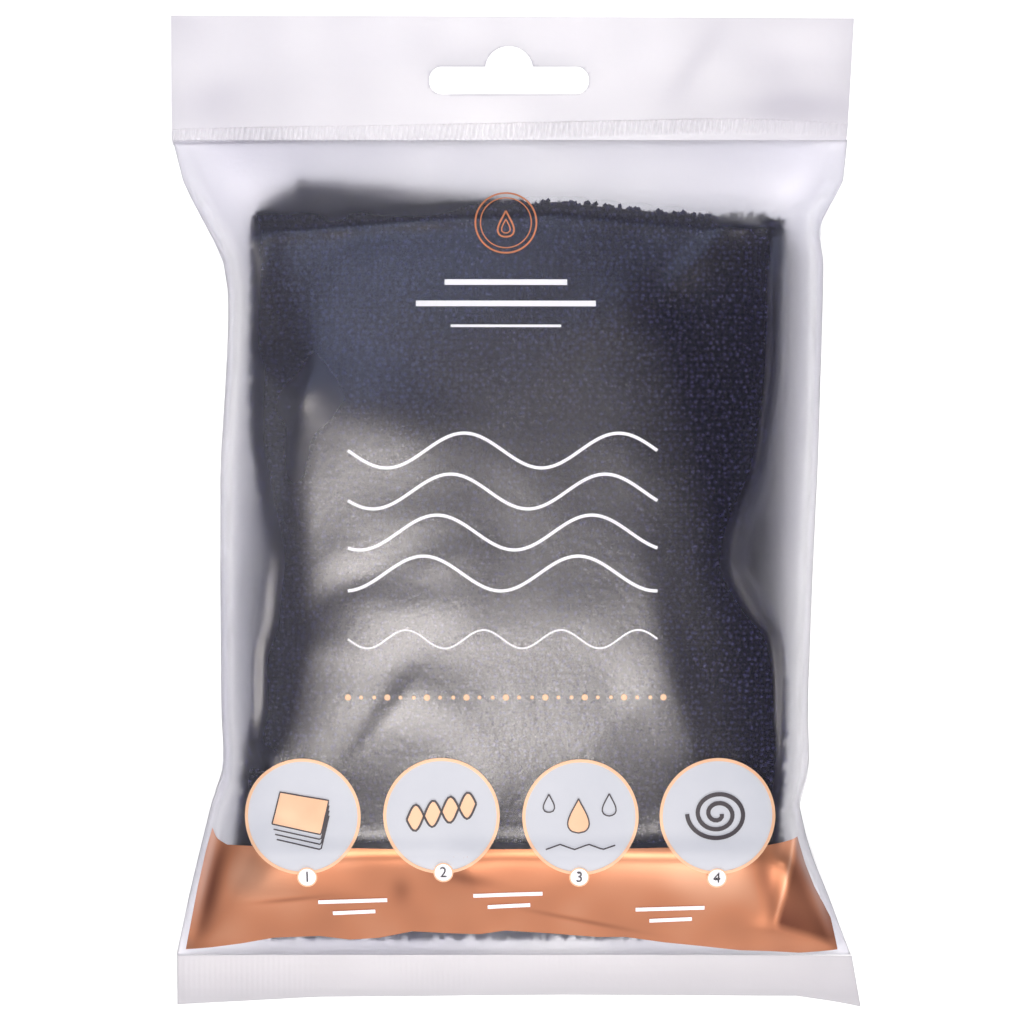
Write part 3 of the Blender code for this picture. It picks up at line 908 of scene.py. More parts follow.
# %% Back panel
BACK_COLUMNS, BACK_ROWS = 90, 110
BACK_STAND_OFF = 0.6
xs, ys, tree = panel_grid("back_film", BACK_COLUMNS, BACK_ROWS, -1)
back_z = heights(tree, xs, ys, side=-1)
back_z = evened(np.where(np.isnan(back_z), WELD_LEVEL - RIM_OVER, back_z), 3)
back_z[:, [0, -1]] = WELD_LEVEL - RIM_MEET
back_panel = grid_piece("back_panel", BACK_COLUMNS, BACK_ROWS, np.stack([xs, ys, back_z], axis=2))
mark_points(back_panel, "stand_off", np.full(xs.size, BACK_STAND_OFF))
mark_points(back_panel, "coat_and_painted_shade", np.ones(xs.size))
pick(back_panel)
edit_all((bpy.ops.mesh.flip_normals, {}))
thicken(back_panel, FILM_WALL, -1)
bpy.ops.object.shade_smooth()
finish_piece(back_panel, "frosted_film", "back_film")

# %% [markdown]
# ## Welds: ruled grids
# The pouch ends in flat welds, where both films are pressed into one sheet. Each weld is a grid ruled
# between its four measured edges, at the height of the frame's solid. A softly varying number on its points
# sets its tint, with painted shade and highlight: it is palest in its middle, darker towards its left and
# right ends, and a few patches are darker and one is paler.

# %% Weld helpers
WELD_WALL = 0.30 * MM
# Paleness along the weld: palest in the middle and darker towards both ends, as painted shade
WELD_PAINTED_SHADE_PROFILE = [(170, 0.42), (300, 0.48), (420, 0.66), (560, 0.68), (700, 0.50), (850, 0.30)]
# Patches of painted shade and highlight in photo pixels: middle, reach along and across, turn in degrees,
# and how much paler
WELD_PAINTED_SHADE_PATCHES = [
    (790, 108, 62, 16, 0, -0.35), (692, 66, 12, 48, 35, -0.25),
    (225, 96, 46, 24, -15, -0.25), (800, 40, 40, 22, 0, 0.25),
]


def ruled(left, right, low, top, columns, rows):
    """Places of a grid between four edges, each a list of photo pixels."""
    u, v = np.meshgrid(np.linspace(0, 1, columns + 1), np.linspace(0, 1, rows + 1))
    px = left[0][0] + u * (right[0][0] - left[0][0])
    for _ in range(3):
        py = read_off(low, px) * (1 - v) + read_off(top, px) * v
        px = read_off(left, py, axis=1) * (1 - u) + read_off(right, py, axis=1) * u
    return spot(px, py)


def weld_level(node, xs, ys):
    """The height of a flat weld's middle under each place, read off the frame's solid."""
    low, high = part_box(node)
    tree = ray_tree(nodes[node])
    inside_x = np.clip(xs, low.x + 1 * MM, high.x - 1 * MM)
    inside_y = np.clip(ys, low.y + 0.5 * MM, high.y - 0.5 * MM)
    middle = (heights(tree, inside_x, inside_y) + heights(tree, inside_x, inside_y, side=-1)) / 2
    return np.where(np.isnan(middle), np.nanmean(middle, axis=1, keepdims=True), middle)


def patch(xs, ys, px, py, reach_x, reach_y, turn=0):
    """A soft oval patch at a photo pixel: 1 in its middle, fading out over its two reaches."""
    at_x, at_y = photo_pixels(xs, ys)
    off_x, off_y = at_x - px, at_y - py
    c, s = math.cos(math.radians(turn)), math.sin(math.radians(turn))
    return np.exp(-(((off_x * c + off_y * s) / reach_x) ** 2) - ((off_y * c - off_x * s) / reach_y) ** 2)


def weld_tone_and_painted_shade(xs, ys):
    """How pale the weld's tint is at each place, from 0 to 1: random tone with painted shade and highlight.
    """
    pale = read_off(WELD_PAINTED_SHADE_PROFILE, photo_pixels(xs, ys)[0]) + 0.10 * wander(xs, ys, 12 * MM, 6.0)
    for px, py, reach_x, reach_y, turn, amount in WELD_PAINTED_SHADE_PATCHES:
        pale = pale + amount * patch(xs, ys, px, py, reach_x, reach_y, turn)
    return np.clip(pale, 0, 1)


def welded(name, xs, ys, zs):
    """A flat weld from a grid of places, marked with its paleness of painted shade and highlight and given
    its wall.
    """
    piece = grid_piece(name, xs.shape[1] - 1, xs.shape[0] - 1, np.stack([xs, ys, zs], axis=2))
    mark_points(piece, "pale", weld_tone_and_painted_shade(xs, ys))
    thicken(piece, WELD_WALL, 0)
    return piece


print("weld wall", round(WELD_WALL / MM, 2), "mm")

# %% [markdown]
# ## Hang header
# Above the filling a hang slot with a round bump is punched through the weld, so that the packet can hang
# on a shop peg. The header has soft waves, and its slot is cut by a rounded box and a cylinder, as a punch
# would do it.

# %% Header
HEADER_LEFT = [(170, 14), (171.5, 120), (173, 158)]
HEADER_RIGHT = [(855, 17), (848, 120), (845, 158)]
HEADER_TOP = [(170, 14), (512, 15), (855, 17)]
CRIMP_TOP = [(170, 129), (340, 126), (512, 123), (700, 119), (760, 119), (850, 123)]
HEADER_GRID = (170, 40)
LONG_WAVE, SHORT_WAVE = (0.35 * MM, 34 * MM), (0.08 * MM, 9 * MM)
SLOT = (429, 66, 589, 94)
SLOT_ROUND = 2.6 * MM
BUMP = (509, 69, 24)
PUNCH_DEPTH = 14 * MM


def punch(piece, cutter):
    """The cutter's shape taken out of the piece, and the cutter removed."""
    hole = piece.modifiers.new("hole", "BOOLEAN")
    hole.operation = "DIFFERENCE"
    hole.solver = "EXACT"
    hole.object = cutter
    apply_modifiers(piece)
    bpy.data.objects.remove(cutter)


def slot_cutter():
    """A box over the slot, rounded along its upright edges."""
    (x0, y0), (x1, y1) = spot(SLOT[0], SLOT[3]), spot(SLOT[2], SLOT[1])
    deselect()
    bpy.ops.mesh.primitive_cube_add(size=1, location=((x0 + x1) / 2, (y0 + y1) / 2, WELD_LEVEL))
    box = bpy.context.object
    box.scale = (x1 - x0, y1 - y0, PUNCH_DEPTH)
    bpy.ops.object.transform_apply(location=True, rotation=False, scale=True)
    corner = box.modifiers.new("corner", "BEVEL")
    corner.width = SLOT_ROUND
    corner.segments = 8
    corner.limit_method = "WEIGHT"
    weights = box.data.attributes.new("bevel_weight_edge", "FLOAT", "EDGE")
    for edge in box.data.edges:
        a, b = (box.data.vertices[i].co for i in edge.vertices)
        weights.data[edge.index].value = 1.0 if abs(a.z - b.z) > 1 * MM else 0.0
    apply_modifiers(box)
    return box


def bump_cutter():
    """A cylinder over the round bump of the slot."""
    px, py, radius = BUMP
    deselect()
    bpy.ops.mesh.primitive_cylinder_add(
        vertices=48, radius=radius * PHOTO_PIXEL, depth=PUNCH_DEPTH, location=(*spot(px, py), WELD_LEVEL)
    )
    return bpy.context.object


xs, ys = ruled(HEADER_LEFT, HEADER_RIGHT, CRIMP_TOP, HEADER_TOP, *HEADER_GRID)
waves = LONG_WAVE[0] * wander(xs, ys, LONG_WAVE[1], 7.0)
waves = waves + SHORT_WAVE[0] * wander(xs, ys, SHORT_WAVE[1], 2.0)
header = welded("header", xs, ys, weld_level("hang_header", xs, ys) + waves)
punch(header, slot_cutter())
punch(header, bump_cutter())
pick(header)
bpy.ops.object.shade_smooth_by_angle(angle=math.radians(40))
finish_piece(header, "frosted_film", "hang_header")

# %% [markdown]
# ## Crimp
# A heated jaw closes the pouch under the header and leaves a band of fine upright ribs. Each rib is real
# relief here: the band is a grid with several columns to a rib, and the ribs fade towards the right corner,
# where the jaw pressed less.

# %% Crimp
CRIMP_LOW = [(170, 145), (340, 142), (512, 139), (700, 133), (760, 133), (850, 137)]
TONGUE_LOW = [(170, 145), (340, 142), (512, 142), (700, 142), (850, 142)]
CRIMP_GRID = (774, 14)
RIB_PITCH = 1.06 * MM
RIB_HEIGHT = 0.42 * MM
RIB_LEAN = 0.12
RIB_EDGE = 0.35 * MM
RIB_FADE_END, RIB_FADE_REACH = 812, 60
RIB_LEAST = 0.25

xs, ys = ruled(HEADER_LEFT, HEADER_RIGHT, TONGUE_LOW, CRIMP_TOP, *CRIMP_GRID)
crimp_px = photo_pixels(xs, ys)[0]
band_low = spot(0, read_off(CRIMP_LOW, crimp_px))[1]
band_top = spot(0, read_off(CRIMP_TOP, crimp_px))[1]
row_fade = np.clip(np.minimum(ys - band_low, band_top - ys) / RIB_EDGE, 0, 1)
ribs = np.sin(2 * np.pi * (xs - RIB_LEAN * ys) / RIB_PITCH)
strength = np.clip((RIB_FADE_END - crimp_px) / RIB_FADE_REACH, RIB_LEAST, 1)
strength = strength * np.clip(wander(xs, ys, 17 * MM, 9.0) + 1, 0.5, 1)
zs = weld_level("hang_header", xs, ys) + LONG_WAVE[0] * wander(xs, ys, LONG_WAVE[1], 7.0)
zs = zs + RIB_HEIGHT * ribs * strength * row_fade
top_crimp = welded("top_crimp", xs, ys, zs)
bpy.ops.object.shade_smooth()
finish_piece(top_crimp, "frosted_film")

# %% [markdown]
# ## Bottom seal
# The lower end of the pouch is a flat weld with a lower edge that sags at both corners. The jaw here left
# only faint lines, so the ribs are far lower, and come and go.

# %% Bottom seal
SEAL_LEFT = [(178, 950), (177, 956), (177, 1005)]
SEAL_RIGHT = [(851, 950), (852, 957), (861, 1007)]
SEAL_LOW = [(177, 1005), (230, 1002), (320, 997), (560, 995), (796, 996), (830, 1001), (861, 1007)]
SEAL_TOP = [(177, 955), (340, 953), (560, 953), (700, 954), (861, 956)]
SEAL_GRID = (390, 26)
SEAL_WAVE = (0.25 * MM, 30 * MM)
SEAL_RIB_HEIGHT = 0.05 * MM

xs, ys = ruled(SEAL_LEFT, SEAL_RIGHT, SEAL_LOW, SEAL_TOP, *SEAL_GRID)
zs = weld_level("bottom_seal", xs, ys) + SEAL_WAVE[0] * wander(xs, ys, SEAL_WAVE[1], 5.0)
pressed = np.clip(wander(xs, ys, 20 * MM, 4.0), 0, 1)
zs = zs + SEAL_RIB_HEIGHT * pressed * np.sin(2 * np.pi * xs / RIB_PITCH)
print("seal heights", round(zs.min() / MM, 2), round(zs.max() / MM, 2))
seal = welded("seal", xs, ys, zs)
bpy.ops.object.shade_smooth()
finish_piece(seal, "frosted_film", "bottom_seal")

# %% [markdown]
# ## Film finish: the milky veil
# Frosted film is a little milky by itself, and it lets soft light through to the cloth. So a share of white
# diffuse is mixed into its shader, and rays on their way to a light pass it as if it were clear. Bending
# them all truly would take thousands of samples, and the inside of the pouch would stay dark.

# %% Film helpers
VEIL = (0.9, 0.89, 0.93, 1)
LET_THROUGH = (0.93, 0.93, 0.94, 1)


def scaled(tree, value, low, high):
    """A value from 0 to 1 stretched to the range from low to high."""
    node = tree.nodes.new("ShaderNodeMapRange")
    node.inputs["To Min"].default_value = low
    node.inputs["To Max"].default_value = high
    tree.links.new(value, node.inputs["Value"])
    return node.outputs["Result"]


def times(tree, first, second):
    """Two values multiplied."""
    node = tree.nodes.new("ShaderNodeMath")
    node.operation = "MULTIPLY"
    tree.links.new(first, node.inputs[0])
    tree.links.new(second, node.inputs[1])
    return node.outputs["Value"]


def veiled(tree, shader, share):
    """The shader with a share of milky diffuse, and light let through to what lies behind."""
    veil = tree.nodes.new("ShaderNodeBsdfDiffuse")
    veil.inputs["Color"].default_value = VEIL
    milky = tree.nodes.new("ShaderNodeMixShader")
    milky.inputs["Fac"].default_value = share
    tree.links.new(shader.outputs["BSDF"], milky.inputs[1])
    tree.links.new(veil.outputs["BSDF"], milky.inputs[2])
    clear = tree.nodes.new("ShaderNodeBsdfTransparent")
    clear.inputs["Color"].default_value = LET_THROUGH
    ray = tree.nodes.new("ShaderNodeLightPath")
    passing = tree.nodes.new("ShaderNodeMixShader")
    tree.links.new(ray.outputs["Is Shadow Ray"], passing.inputs["Fac"])
    tree.links.new(milky.outputs["Shader"], passing.inputs[1])
    tree.links.new(clear.outputs["BSDF"], passing.inputs[2])
    tree.links.new(passing.outputs["Shader"], tree.nodes["Material Output"].inputs["Surface"])


print("light let through:", LET_THROUGH[:3])

# %% [markdown]
# ## Film finish: scatter and sheen
# Frosted film scatters what lies behind it, and the more the further away it is: cloth that touches it
# looks crisp, and an edge a few millimetres behind it is a blur. Rough transmission does that, rougher
# where the film stands off. A smoother coat on top gives the sheen. The welds are the same film, doubled,
# so they are less see-through and take their tint from how pale each place is, with painted shade and
# highlight. The seal takes darker tints than the header as painted shade.

# %% Film material
FILM_INDEX = 1.2
FILM_SPECULAR = 0.1
SKIN_ROUGHNESS = 0.35
CONTACT_ROUGHNESS = 0.17
STAND_OFF_GRAIN = 0.7
GRAIN_PER_METRE = 0.75 / (1.05 * MM)
CLOUDS_PER_METRE = 22


def film_material(name, tints, veil_share, roughness, coat_and_painted_shade, grain_depth, panel):
    """Frosted film. A panel is clouded and follows its stand_off and its painted shade on the coat, a weld
    follows its pale, which holds painted shade and highlight.
    """
    film, tree, shader, place = new_material(name)
    if panel:
        tone = noise_texture(tree, place, CLOUDS_PER_METRE, 2.0)
        stops = [(0.36, tints[0]), (0.64, tints[1])]
    else:
        tone, stops = mark_value(tree, "pale"), [(0.0, tints[0]), (1.0, tints[1])]
    tree.links.new(colours(tree, tone, stops), shader.inputs["Base Color"])
    shader.inputs["Roughness"].default_value = roughness
    shader.inputs["IOR"].default_value = FILM_INDEX
    shader.inputs["Specular IOR Level"].default_value = FILM_SPECULAR
    shader.inputs["Transmission Weight"].default_value = 1.0
    shader.inputs["Coat Weight"].default_value = coat_and_painted_shade
    shader.inputs["Coat Roughness"].default_value = SKIN_ROUGHNESS
    grain = noise_texture(tree, place, GRAIN_PER_METRE, 2.0)
    if panel:
        away = mark_value(tree, "stand_off")
        tree.links.new(scaled(tree, away, CONTACT_ROUGHNESS, roughness), shader.inputs["Roughness"])
        grain = times(tree, grain, scaled(tree, away, 1.0, STAND_OFF_GRAIN))
        tree.links.new(scaled(tree, mark_value(tree, "coat_and_painted_shade"), 0.0, coat_and_painted_shade), shader.inputs["Coat Weight"])
    bumped(tree, shader, grain, grain_depth)
    tree.links.new(shader.inputs["Normal"].links[0].from_socket, shader.inputs["Coat Normal"])
    veiled(tree, shader, veil_share)
    return film


def dress(piece, material):
    """The material as the piece's only one."""
    piece.data.materials.clear()
    piece.data.materials.append(material)


FILM_TINTS = [(0.75, 0.745, 0.785, 1), (0.85, 0.845, 0.865, 1)]
WELD_TINTS = [(0.50, 0.485, 0.53, 1), (0.84, 0.825, 0.84, 1)]
# The seal is the same weld film with darker tints, as painted shade
SEAL_SHADED_TINTS = [(0.48, 0.465, 0.49, 1), (0.58, 0.565, 0.59, 1)]
film = film_material("frosted_film", FILM_TINTS, 0.004, 0.75, 0.9, 0.035 * MM, panel=True)
weld = film_material("welded_film", WELD_TINTS, 0.02, 0.45, 0.25, 0.03 * MM, panel=False)
shaded_seal_film = film_material("shaded_sealed_film", SEAL_SHADED_TINTS, 0.02, 0.45, 0.25, 0.03 * MM, panel=False)
film_finishes = {front_panel: film, back_panel: film, header: weld, top_crimp: weld, seal: shaded_seal_film}
for piece, finish in film_finishes.items():
    dress(piece, finish)
print("film pieces dressed:", len(film_finishes))

# %% [markdown]
# ## Print: laying ink on the film
# Ink lies on the film and follows each fold. Every print starts flat, above the packet, with enough points
# to bend. A Shrinkwrap modifier then drops it straight down on the film, and the modifier is applied. The
# offset grows from the ground colour to the lines on top, so that no two inks share a surface.

# %% Ink helpers
INK_STEP = 0.06 * MM
ABOVE = 60 * MM


def lay_on_film(piece, layer):
    """The flat piece dropped on the front film, layer steps of ink above it."""
    wrap = piece.modifiers.new("wrap", "SHRINKWRAP")
    wrap.wrap_method = "PROJECT"
    wrap.use_project_z = True
    wrap.use_project_x = wrap.use_project_y = False
    wrap.use_positive_direction = False
    wrap.use_negative_direction = True
    wrap.target = front_panel
    apply_modifiers(piece)
    missed = [v for v in piece.data.vertices if v.co.z > ABOVE - 1 * MM]
    print("points of", piece.name, "beside the film:", len(missed))
    normals = [vertex.normal.copy() for vertex in piece.data.vertices]
    for vertex, normal in zip(piece.data.vertices, normals):
        vertex.co += normal * (1 if normal.z > 0 else -1) * layer * INK_STEP
    bpy.ops.object.shade_smooth()


def ink(piece, layer, material, slot):
    """A print laid on the film and given its finish."""
    lay_on_film(piece, layer)
    dress(piece, material)
    return finish_piece(piece, slot)


def flat_places(xs, ys):
    """Places above the packet for a flat grid."""
    return np.stack([xs, ys, np.full_like(xs, ABOVE)], axis=2)


print("ink starts", round((ABOVE - front_z.max()) / MM, 1), "mm over the film")

# %% [markdown]
# ## Print: strokes and discs
# All of the print is made of two simple shapes: a stroke of even width along a path, and a disc. Both need
# points inside them, or they would cut through the folds when they are dropped on the film. A stroke is a
# narrow grid, and a disc is a circle inset again and again.

# %% Print shapes
STROKE_STEP = 3
DISC_RINGS = 9


def stroke(name, path, width):
    """A flat line of this width, as a grid along a path of photo pixels."""
    path = np.array(path, float)
    steps = np.linalg.norm(np.diff(path, axis=0), axis=1)
    run = np.concatenate([[0], np.cumsum(steps)])
    count = max(4, int(run[-1] / STROKE_STEP))
    at = np.linspace(0, run[-1], count + 1)
    xs, ys = spot(np.interp(at, run, path[:, 0]), np.interp(at, run, path[:, 1]))
    dx, dy = np.gradient(xs), np.gradient(ys)
    length = np.hypot(dx, dy)
    sides = np.linspace(-0.5, 0.5, 3)[:, None] * width
    return grid_piece(name, count, 2, flat_places(xs - sides * dy / length, ys + sides * dx / length))


def disc(name, px, py, radius):
    """A flat disc with rings inside it, so that it can follow the film."""
    x, y = spot(px, py)
    deselect()
    size = radius * PHOTO_PIXEL
    bpy.ops.mesh.primitive_circle_add(vertices=72, radius=size, fill_type="NGON", location=(x, y, ABOVE))
    piece = bpy.context.object
    piece.name = name
    bpy.ops.object.transform_apply(location=True, rotation=False, scale=False)
    edit_all(*[(bpy.ops.mesh.inset, {"thickness": size / (DISC_RINGS + 1)})] * DISC_RINGS)
    return piece


def joined(name, pieces):
    """Several pieces made one."""
    deselect()
    for piece in pieces:
        piece.select_set(True)
    bpy.context.view_layer.objects.active = pieces[0]
    bpy.ops.object.join()
    pieces[0].name = name
    return pieces[0]


print("rings in a disc:", DISC_RINGS)

# %% [markdown]
# ## Print: finishes
# The copper ink is a satin metal. Its colour runs from dark brown in painted shade to pale peach in painted
# highlight, by a number on the band's points. The pale ground of the discs, the white lines and the warm
# ones are plain inks of two clouded tones, and they glow a little as painted light.

# %% Ink materials
INK_CLOUDS, INK_GRAIN_SCALE = 60, 900
INK_GRAIN = 0.03 * MM


def ink_material(name, tones, metal, roughness, glow=0.0, mark=None):
    """A printed ink: two tones clouded into each other, or stops read off the piece's own mark."""
    material, tree, shader, place = new_material(name)
    if mark:
        value, stops = mark_value(tree, mark), tones
    else:
        value = noise_texture(tree, place, INK_CLOUDS, 4.0, 0.6)
        stops = [(0.3, tones[0]), (0.7, tones[1])]
        # The glow is painted light, brightening the ink without a lamp
        shader.inputs["Emission Color"].default_value = tones[1]
        shader.inputs["Emission Strength"].default_value = glow
    tree.links.new(colours(tree, value, stops), shader.inputs["Base Color"])
    shader.inputs["Metallic"].default_value = metal
    shader.inputs["Roughness"].default_value = roughness
    bumped(tree, shader, noise_texture(tree, place, INK_GRAIN_SCALE, 2.0), INK_GRAIN, 0.4)
    return material


# Dark brown is painted shade and pale peach a painted highlight on the copper
COPPER_SHADE_TO_HIGHLIGHT_STOPS = [
    (0.0, (0.12, 0.028, 0.016, 1)), (0.5, (0.66, 0.27, 0.14, 1)), (1.0, (0.98, 0.58, 0.38, 1)),
]
PALE_TONES = [(0.66, 0.69, 0.74, 1), (0.72, 0.745, 0.79, 1)]
WHITE_TONES = [(0.86, 0.86, 0.88, 1), (0.92, 0.92, 0.94, 1)]
PEACH_TONES = [(0.90, 0.52, 0.31, 1), (0.95, 0.60, 0.38, 1)]
ORANGE_TONES = [(0.60, 0.21, 0.09, 1), (0.68, 0.26, 0.12, 1)]
LINE_TONES = [(0.06, 0.05, 0.06, 1), (0.08, 0.07, 0.08, 1)]
copper_ink = ink_material("copper_ink", COPPER_SHADE_TO_HIGHLIGHT_STOPS, 0.75, 0.42, mark="tone")
# The last number of the pale, white, peach and orange inks is their painted glow
pale_ink = ink_material("pale_ink", PALE_TONES, 0.0, 0.5, 0.10)
white_ink = ink_material("white_ink", WHITE_TONES, 0.0, 0.5, 0.30)
peach_ink = ink_material("peach_ink", PEACH_TONES, 0.1, 0.45, 0.15)
orange_ink = ink_material("orange_ink", ORANGE_TONES, 0.1, 0.45, 0.15)
line_ink = ink_material("line_ink", LINE_TONES, 0.0, 0.5)
print("copper stops:", len(COPPER_SHADE_TO_HIGHLIGHT_STOPS))

# %% [markdown]
# ## Print: copper band
# A band of copper ink runs across the foot of the pouch. Its top edge is straight on the filling, and its
# lower edge is wavy, because the film was gathered when it was sealed. It is a grid ruled between its
# edges. Its tone is even, with soft patches of painted shade and painted highlight over the film's wrinkles,
# and painted shade on a pleat with a painted highlight on a crease beside it at its right end.

# %% Copper band
BAND_TOP = [(214, 826), (222, 834), (232, 839), (400, 842), (600, 842), (763, 839), (795, 834)]
BAND_LOW = [
    (186, 949), (213, 946), (245, 941), (275, 935), (321, 933), (351, 937), (380, 935), (413, 928),
    (450, 930), (480, 931), (505, 927), (550, 930), (595, 934), (625, 934), (664, 940), (700, 944),
    (740, 949), (770, 950), (799, 952), (836, 949),
]
BAND_LEFT = [(214, 826), (207, 850), (199, 885), (191, 925), (186, 949)]
BAND_RIGHT = [(795, 834), (803, 862), (812, 884), (822, 902), (830, 917), (837, 948)]
BAND_GRID = (320, 60)
# Patches of painted shade and painted highlight in photo pixels: middle, reach along and across, turn in
# degrees, and how much lighter
BAND_PAINTED_SHADE_AND_HIGHLIGHT = [
    (216, 880, 10, 60, 15, -0.42), (255, 864, 28, 26, 0, 0.24), (292, 894, 28, 2.4, -6, -0.26),
    (403, 884, 10, 14, 0, -0.20), (470, 872, 30, 7, 12, -0.24), (580, 916, 46, 2.4, 12, -0.22),
    (764, 882, 9, 34, -14, -0.32), (695, 874, 62, 20, 9, 0.26), (200, 940, 22, 10, -20, 0.16),
]
# The crease runs from 791, 834 down and to the left, by 18 pixels in 86
CREASE_TOP, CREASE_LEAN = (791, 834), (18, 86)
CREASE_WIDTH, CREASE_END, PLEAT_END = 1.6, 922, 926
MEAN_TONE, PLEAT_PAINTED_SHADE, CREASE_PAINTED_HIGHLIGHT, TONE_WANDER = 0.5, -0.36, 0.28, 0.06

xs, ys = ruled(BAND_LEFT, BAND_RIGHT, BAND_LOW, BAND_TOP, *BAND_GRID)
band = grid_piece("copper_band", *BAND_GRID, flat_places(xs, ys))
band_px, band_py = photo_pixels(xs, ys)
crease_x = CREASE_TOP[0] - CREASE_LEAN[0] * (band_py - CREASE_TOP[1]) / CREASE_LEAN[1]
# Painted shade on the pleat right of the crease, and a painted highlight along the crease
pleat_shade = rise(band_px, crease_x, 5) * fall(band_py, PLEAT_END + 0.34 * (band_px - 774), 9)
crease_highlight = np.exp(-(((band_px - crease_x + 1) / CREASE_WIDTH) ** 2)) * fall(band_py, CREASE_END, 12)
tones = MEAN_TONE + PLEAT_PAINTED_SHADE * pleat_shade + CREASE_PAINTED_HIGHLIGHT * crease_highlight + TONE_WANDER * wander(xs, ys, 8 * MM, 8.0)
for px, py, reach_x, reach_y, turn, amount in BAND_PAINTED_SHADE_AND_HIGHLIGHT:
    tones = tones + amount * patch(xs, ys, px, py, reach_x, reach_y, turn)
mark_points(band, "tone", np.clip(tones, 0, 1))
ink(band, 1, copper_ink, "copper_print")

# %% [markdown]
# ## Print: four discs
# Four pale discs with a thin warm ring stand on the upper edge of the band, each with a numbered badge at
# its foot. The numbers start as text and become meshes, cut finely enough to bend with the film.

# %% Discs
DISC_CENTRES = [(307, 810), (443, 809), (579, 810.6), (713.5, 810)]
BADGE_CENTRES = [(311, 869), (445, 864), (578, 869), (713, 870)]
DISC_RADIUS, BADGE_RADIUS = 55.5, 9.3
RING_WIDTH, LINE_WIDTH = 0.6 * MM, 0.26 * MM
NUMBER_HEIGHT = 15
GROUND, RING, BADGE, BADGE_RING, NUMBER = 2, 4, 6, 8, 9


def round_path(px, py, radius):
    """Points round a circle, in photo pixels."""
    turn = np.radians(np.linspace(0, 360, 73))
    return np.stack([px + radius * np.cos(turn), py - radius * np.sin(turn)], axis=1)


def number(text, px, py, height):
    """A plain number as a flat mesh at its place."""
    deselect()
    bpy.ops.object.text_add(location=(0, 0, 0))
    figure = bpy.context.object
    figure.data.body = text
    figure.data.size = height * PHOTO_PIXEL
    figure.data.align_x = "CENTER"
    figure.data.align_y = "CENTER"
    bpy.ops.object.convert(target="MESH")
    figure = bpy.context.object
    edit_all((bpy.ops.mesh.subdivide, {"number_cuts": 3}))
    figure.location = (*spot(px, py), ABOVE)
    bpy.ops.object.transform_apply(location=True, rotation=False, scale=False)
    return figure


grounds = [disc("ground", *c, DISC_RADIUS) for c in DISC_CENTRES]
ink(joined("disc_grounds", grounds), GROUND, pale_ink, "pale_print")
rings = [stroke("ring", round_path(*c, DISC_RADIUS), RING_WIDTH) for c in DISC_CENTRES]
ink(joined("disc_rings", rings), RING, peach_ink, "copper_print")
badges = [disc("badge", *c, BADGE_RADIUS) for c in BADGE_CENTRES]
ink(joined("badges", badges), BADGE, white_ink, "pale_print")
rings = [stroke("ring", round_path(*c, BADGE_RADIUS), LINE_WIDTH) for c in BADGE_CENTRES]
ink(joined("badge_rings", rings), BADGE_RING, peach_ink, "copper_print")
numbers = [number(str(i + 1), *c, NUMBER_HEIGHT) for i, c in enumerate(BADGE_CENTRES)]
ink(joined("badge_numbers", numbers), NUMBER, line_ink, "pale_print")

# %% [markdown]
# ## Print: tools for the drawings
# The drawings in the discs are thin dark lines with a few warm fills, like an instruction card. Fills are
# grids ruled between their edges and lines are strokes. Both are given round the middle of their disc. A
# drop's sides follow a formula, so that it can have any size, as a line or filled.

# %% Drawing helpers
DROP_SHARES = np.linspace(0, 1, 25)
DROP_COLUMNS = 8


def shifted(path, px, py):
    """A path given round its own middle, moved to a place."""
    return [(px + x, py + y) for x, y in path]


def drawn(path, centre, width=LINE_WIDTH):
    """A line whose path is given round the middle of a disc."""
    return stroke("line", shifted(path, *centre), width)


def filled(left, right, low, top, centre, columns, rows):
    """A fill ruled between four edges that are given round the middle of a disc."""
    edges = [shifted(edge, *centre) for edge in (left, right, low, top)]
    return grid_piece("fill", columns, rows, flat_places(*ruled(*edges, columns, rows)))


def drop_sides(py, size):
    """Half width and level of a drop at each share of its height, from its tip down."""
    half = size * 0.62 * DROP_SHARES * np.sqrt(1 - DROP_SHARES**2) / 0.5
    return half, py - size * 1.2 + DROP_SHARES**0.9 * size * 2.0


def drop_path(px, py, size):
    """The outline of a drop, from its tip and back."""
    half, level = drop_sides(py, size)
    right = np.stack([px + half, level], axis=1)
    left = np.stack([px - half, level], axis=1)[::-1]
    return np.concatenate([right, left[1:]])


def filled_drop(name, px, py, size):
    """A drop filled with rows between its two sides."""
    half, level = drop_sides(py, size)
    half = np.maximum(half[::-1], 0.02)
    level = level[::-1] + np.linspace(0, -0.01, len(level))
    xs = px + half[:, None] * np.linspace(-1, 1, DROP_COLUMNS + 1)[None]
    ys = np.repeat(level[:, None], DROP_COLUMNS + 1, axis=1)
    return grid_piece(name, DROP_COLUMNS, len(level) - 1, flat_places(*spot(xs, ys)))


print("a drop's outline has", len(drop_path(0, 0, 1)), "points")

# %% [markdown]
# ## Print: the drawings
# The drawings are this lesson's own, and plain: a folded towel, a twist, drops over a wavy line, and a
# coil. All their fills become one piece and all their lines another, dropped on the film as the rest.

# %% Drawings
FILL, LINE = 4, 6
LEFT_LOW, LEFT_TOP, RIGHT_TOP, RIGHT_LOW = (-30, 8), (-22, -24), (26, -16), (18, 18)
TOWEL_EDGES = (5, 10, 15)
TWIST_HALF, TWIST_LEVEL, TWIST_RISE = 34, 4, 16
TWIST_LINE, TWIST_FILL = 13, 12
DROPS = [(-2, 2, 17), (-31, -12, 9), (28, -10, 11)]
RIPPLE = [(-34, 32), (-20, 27), (-6, 32), (8, 27), (22, 32), (34, 28)]
COIL_START, COIL_GROWTH, COIL_LEVEL = 4, (26, 22), -2

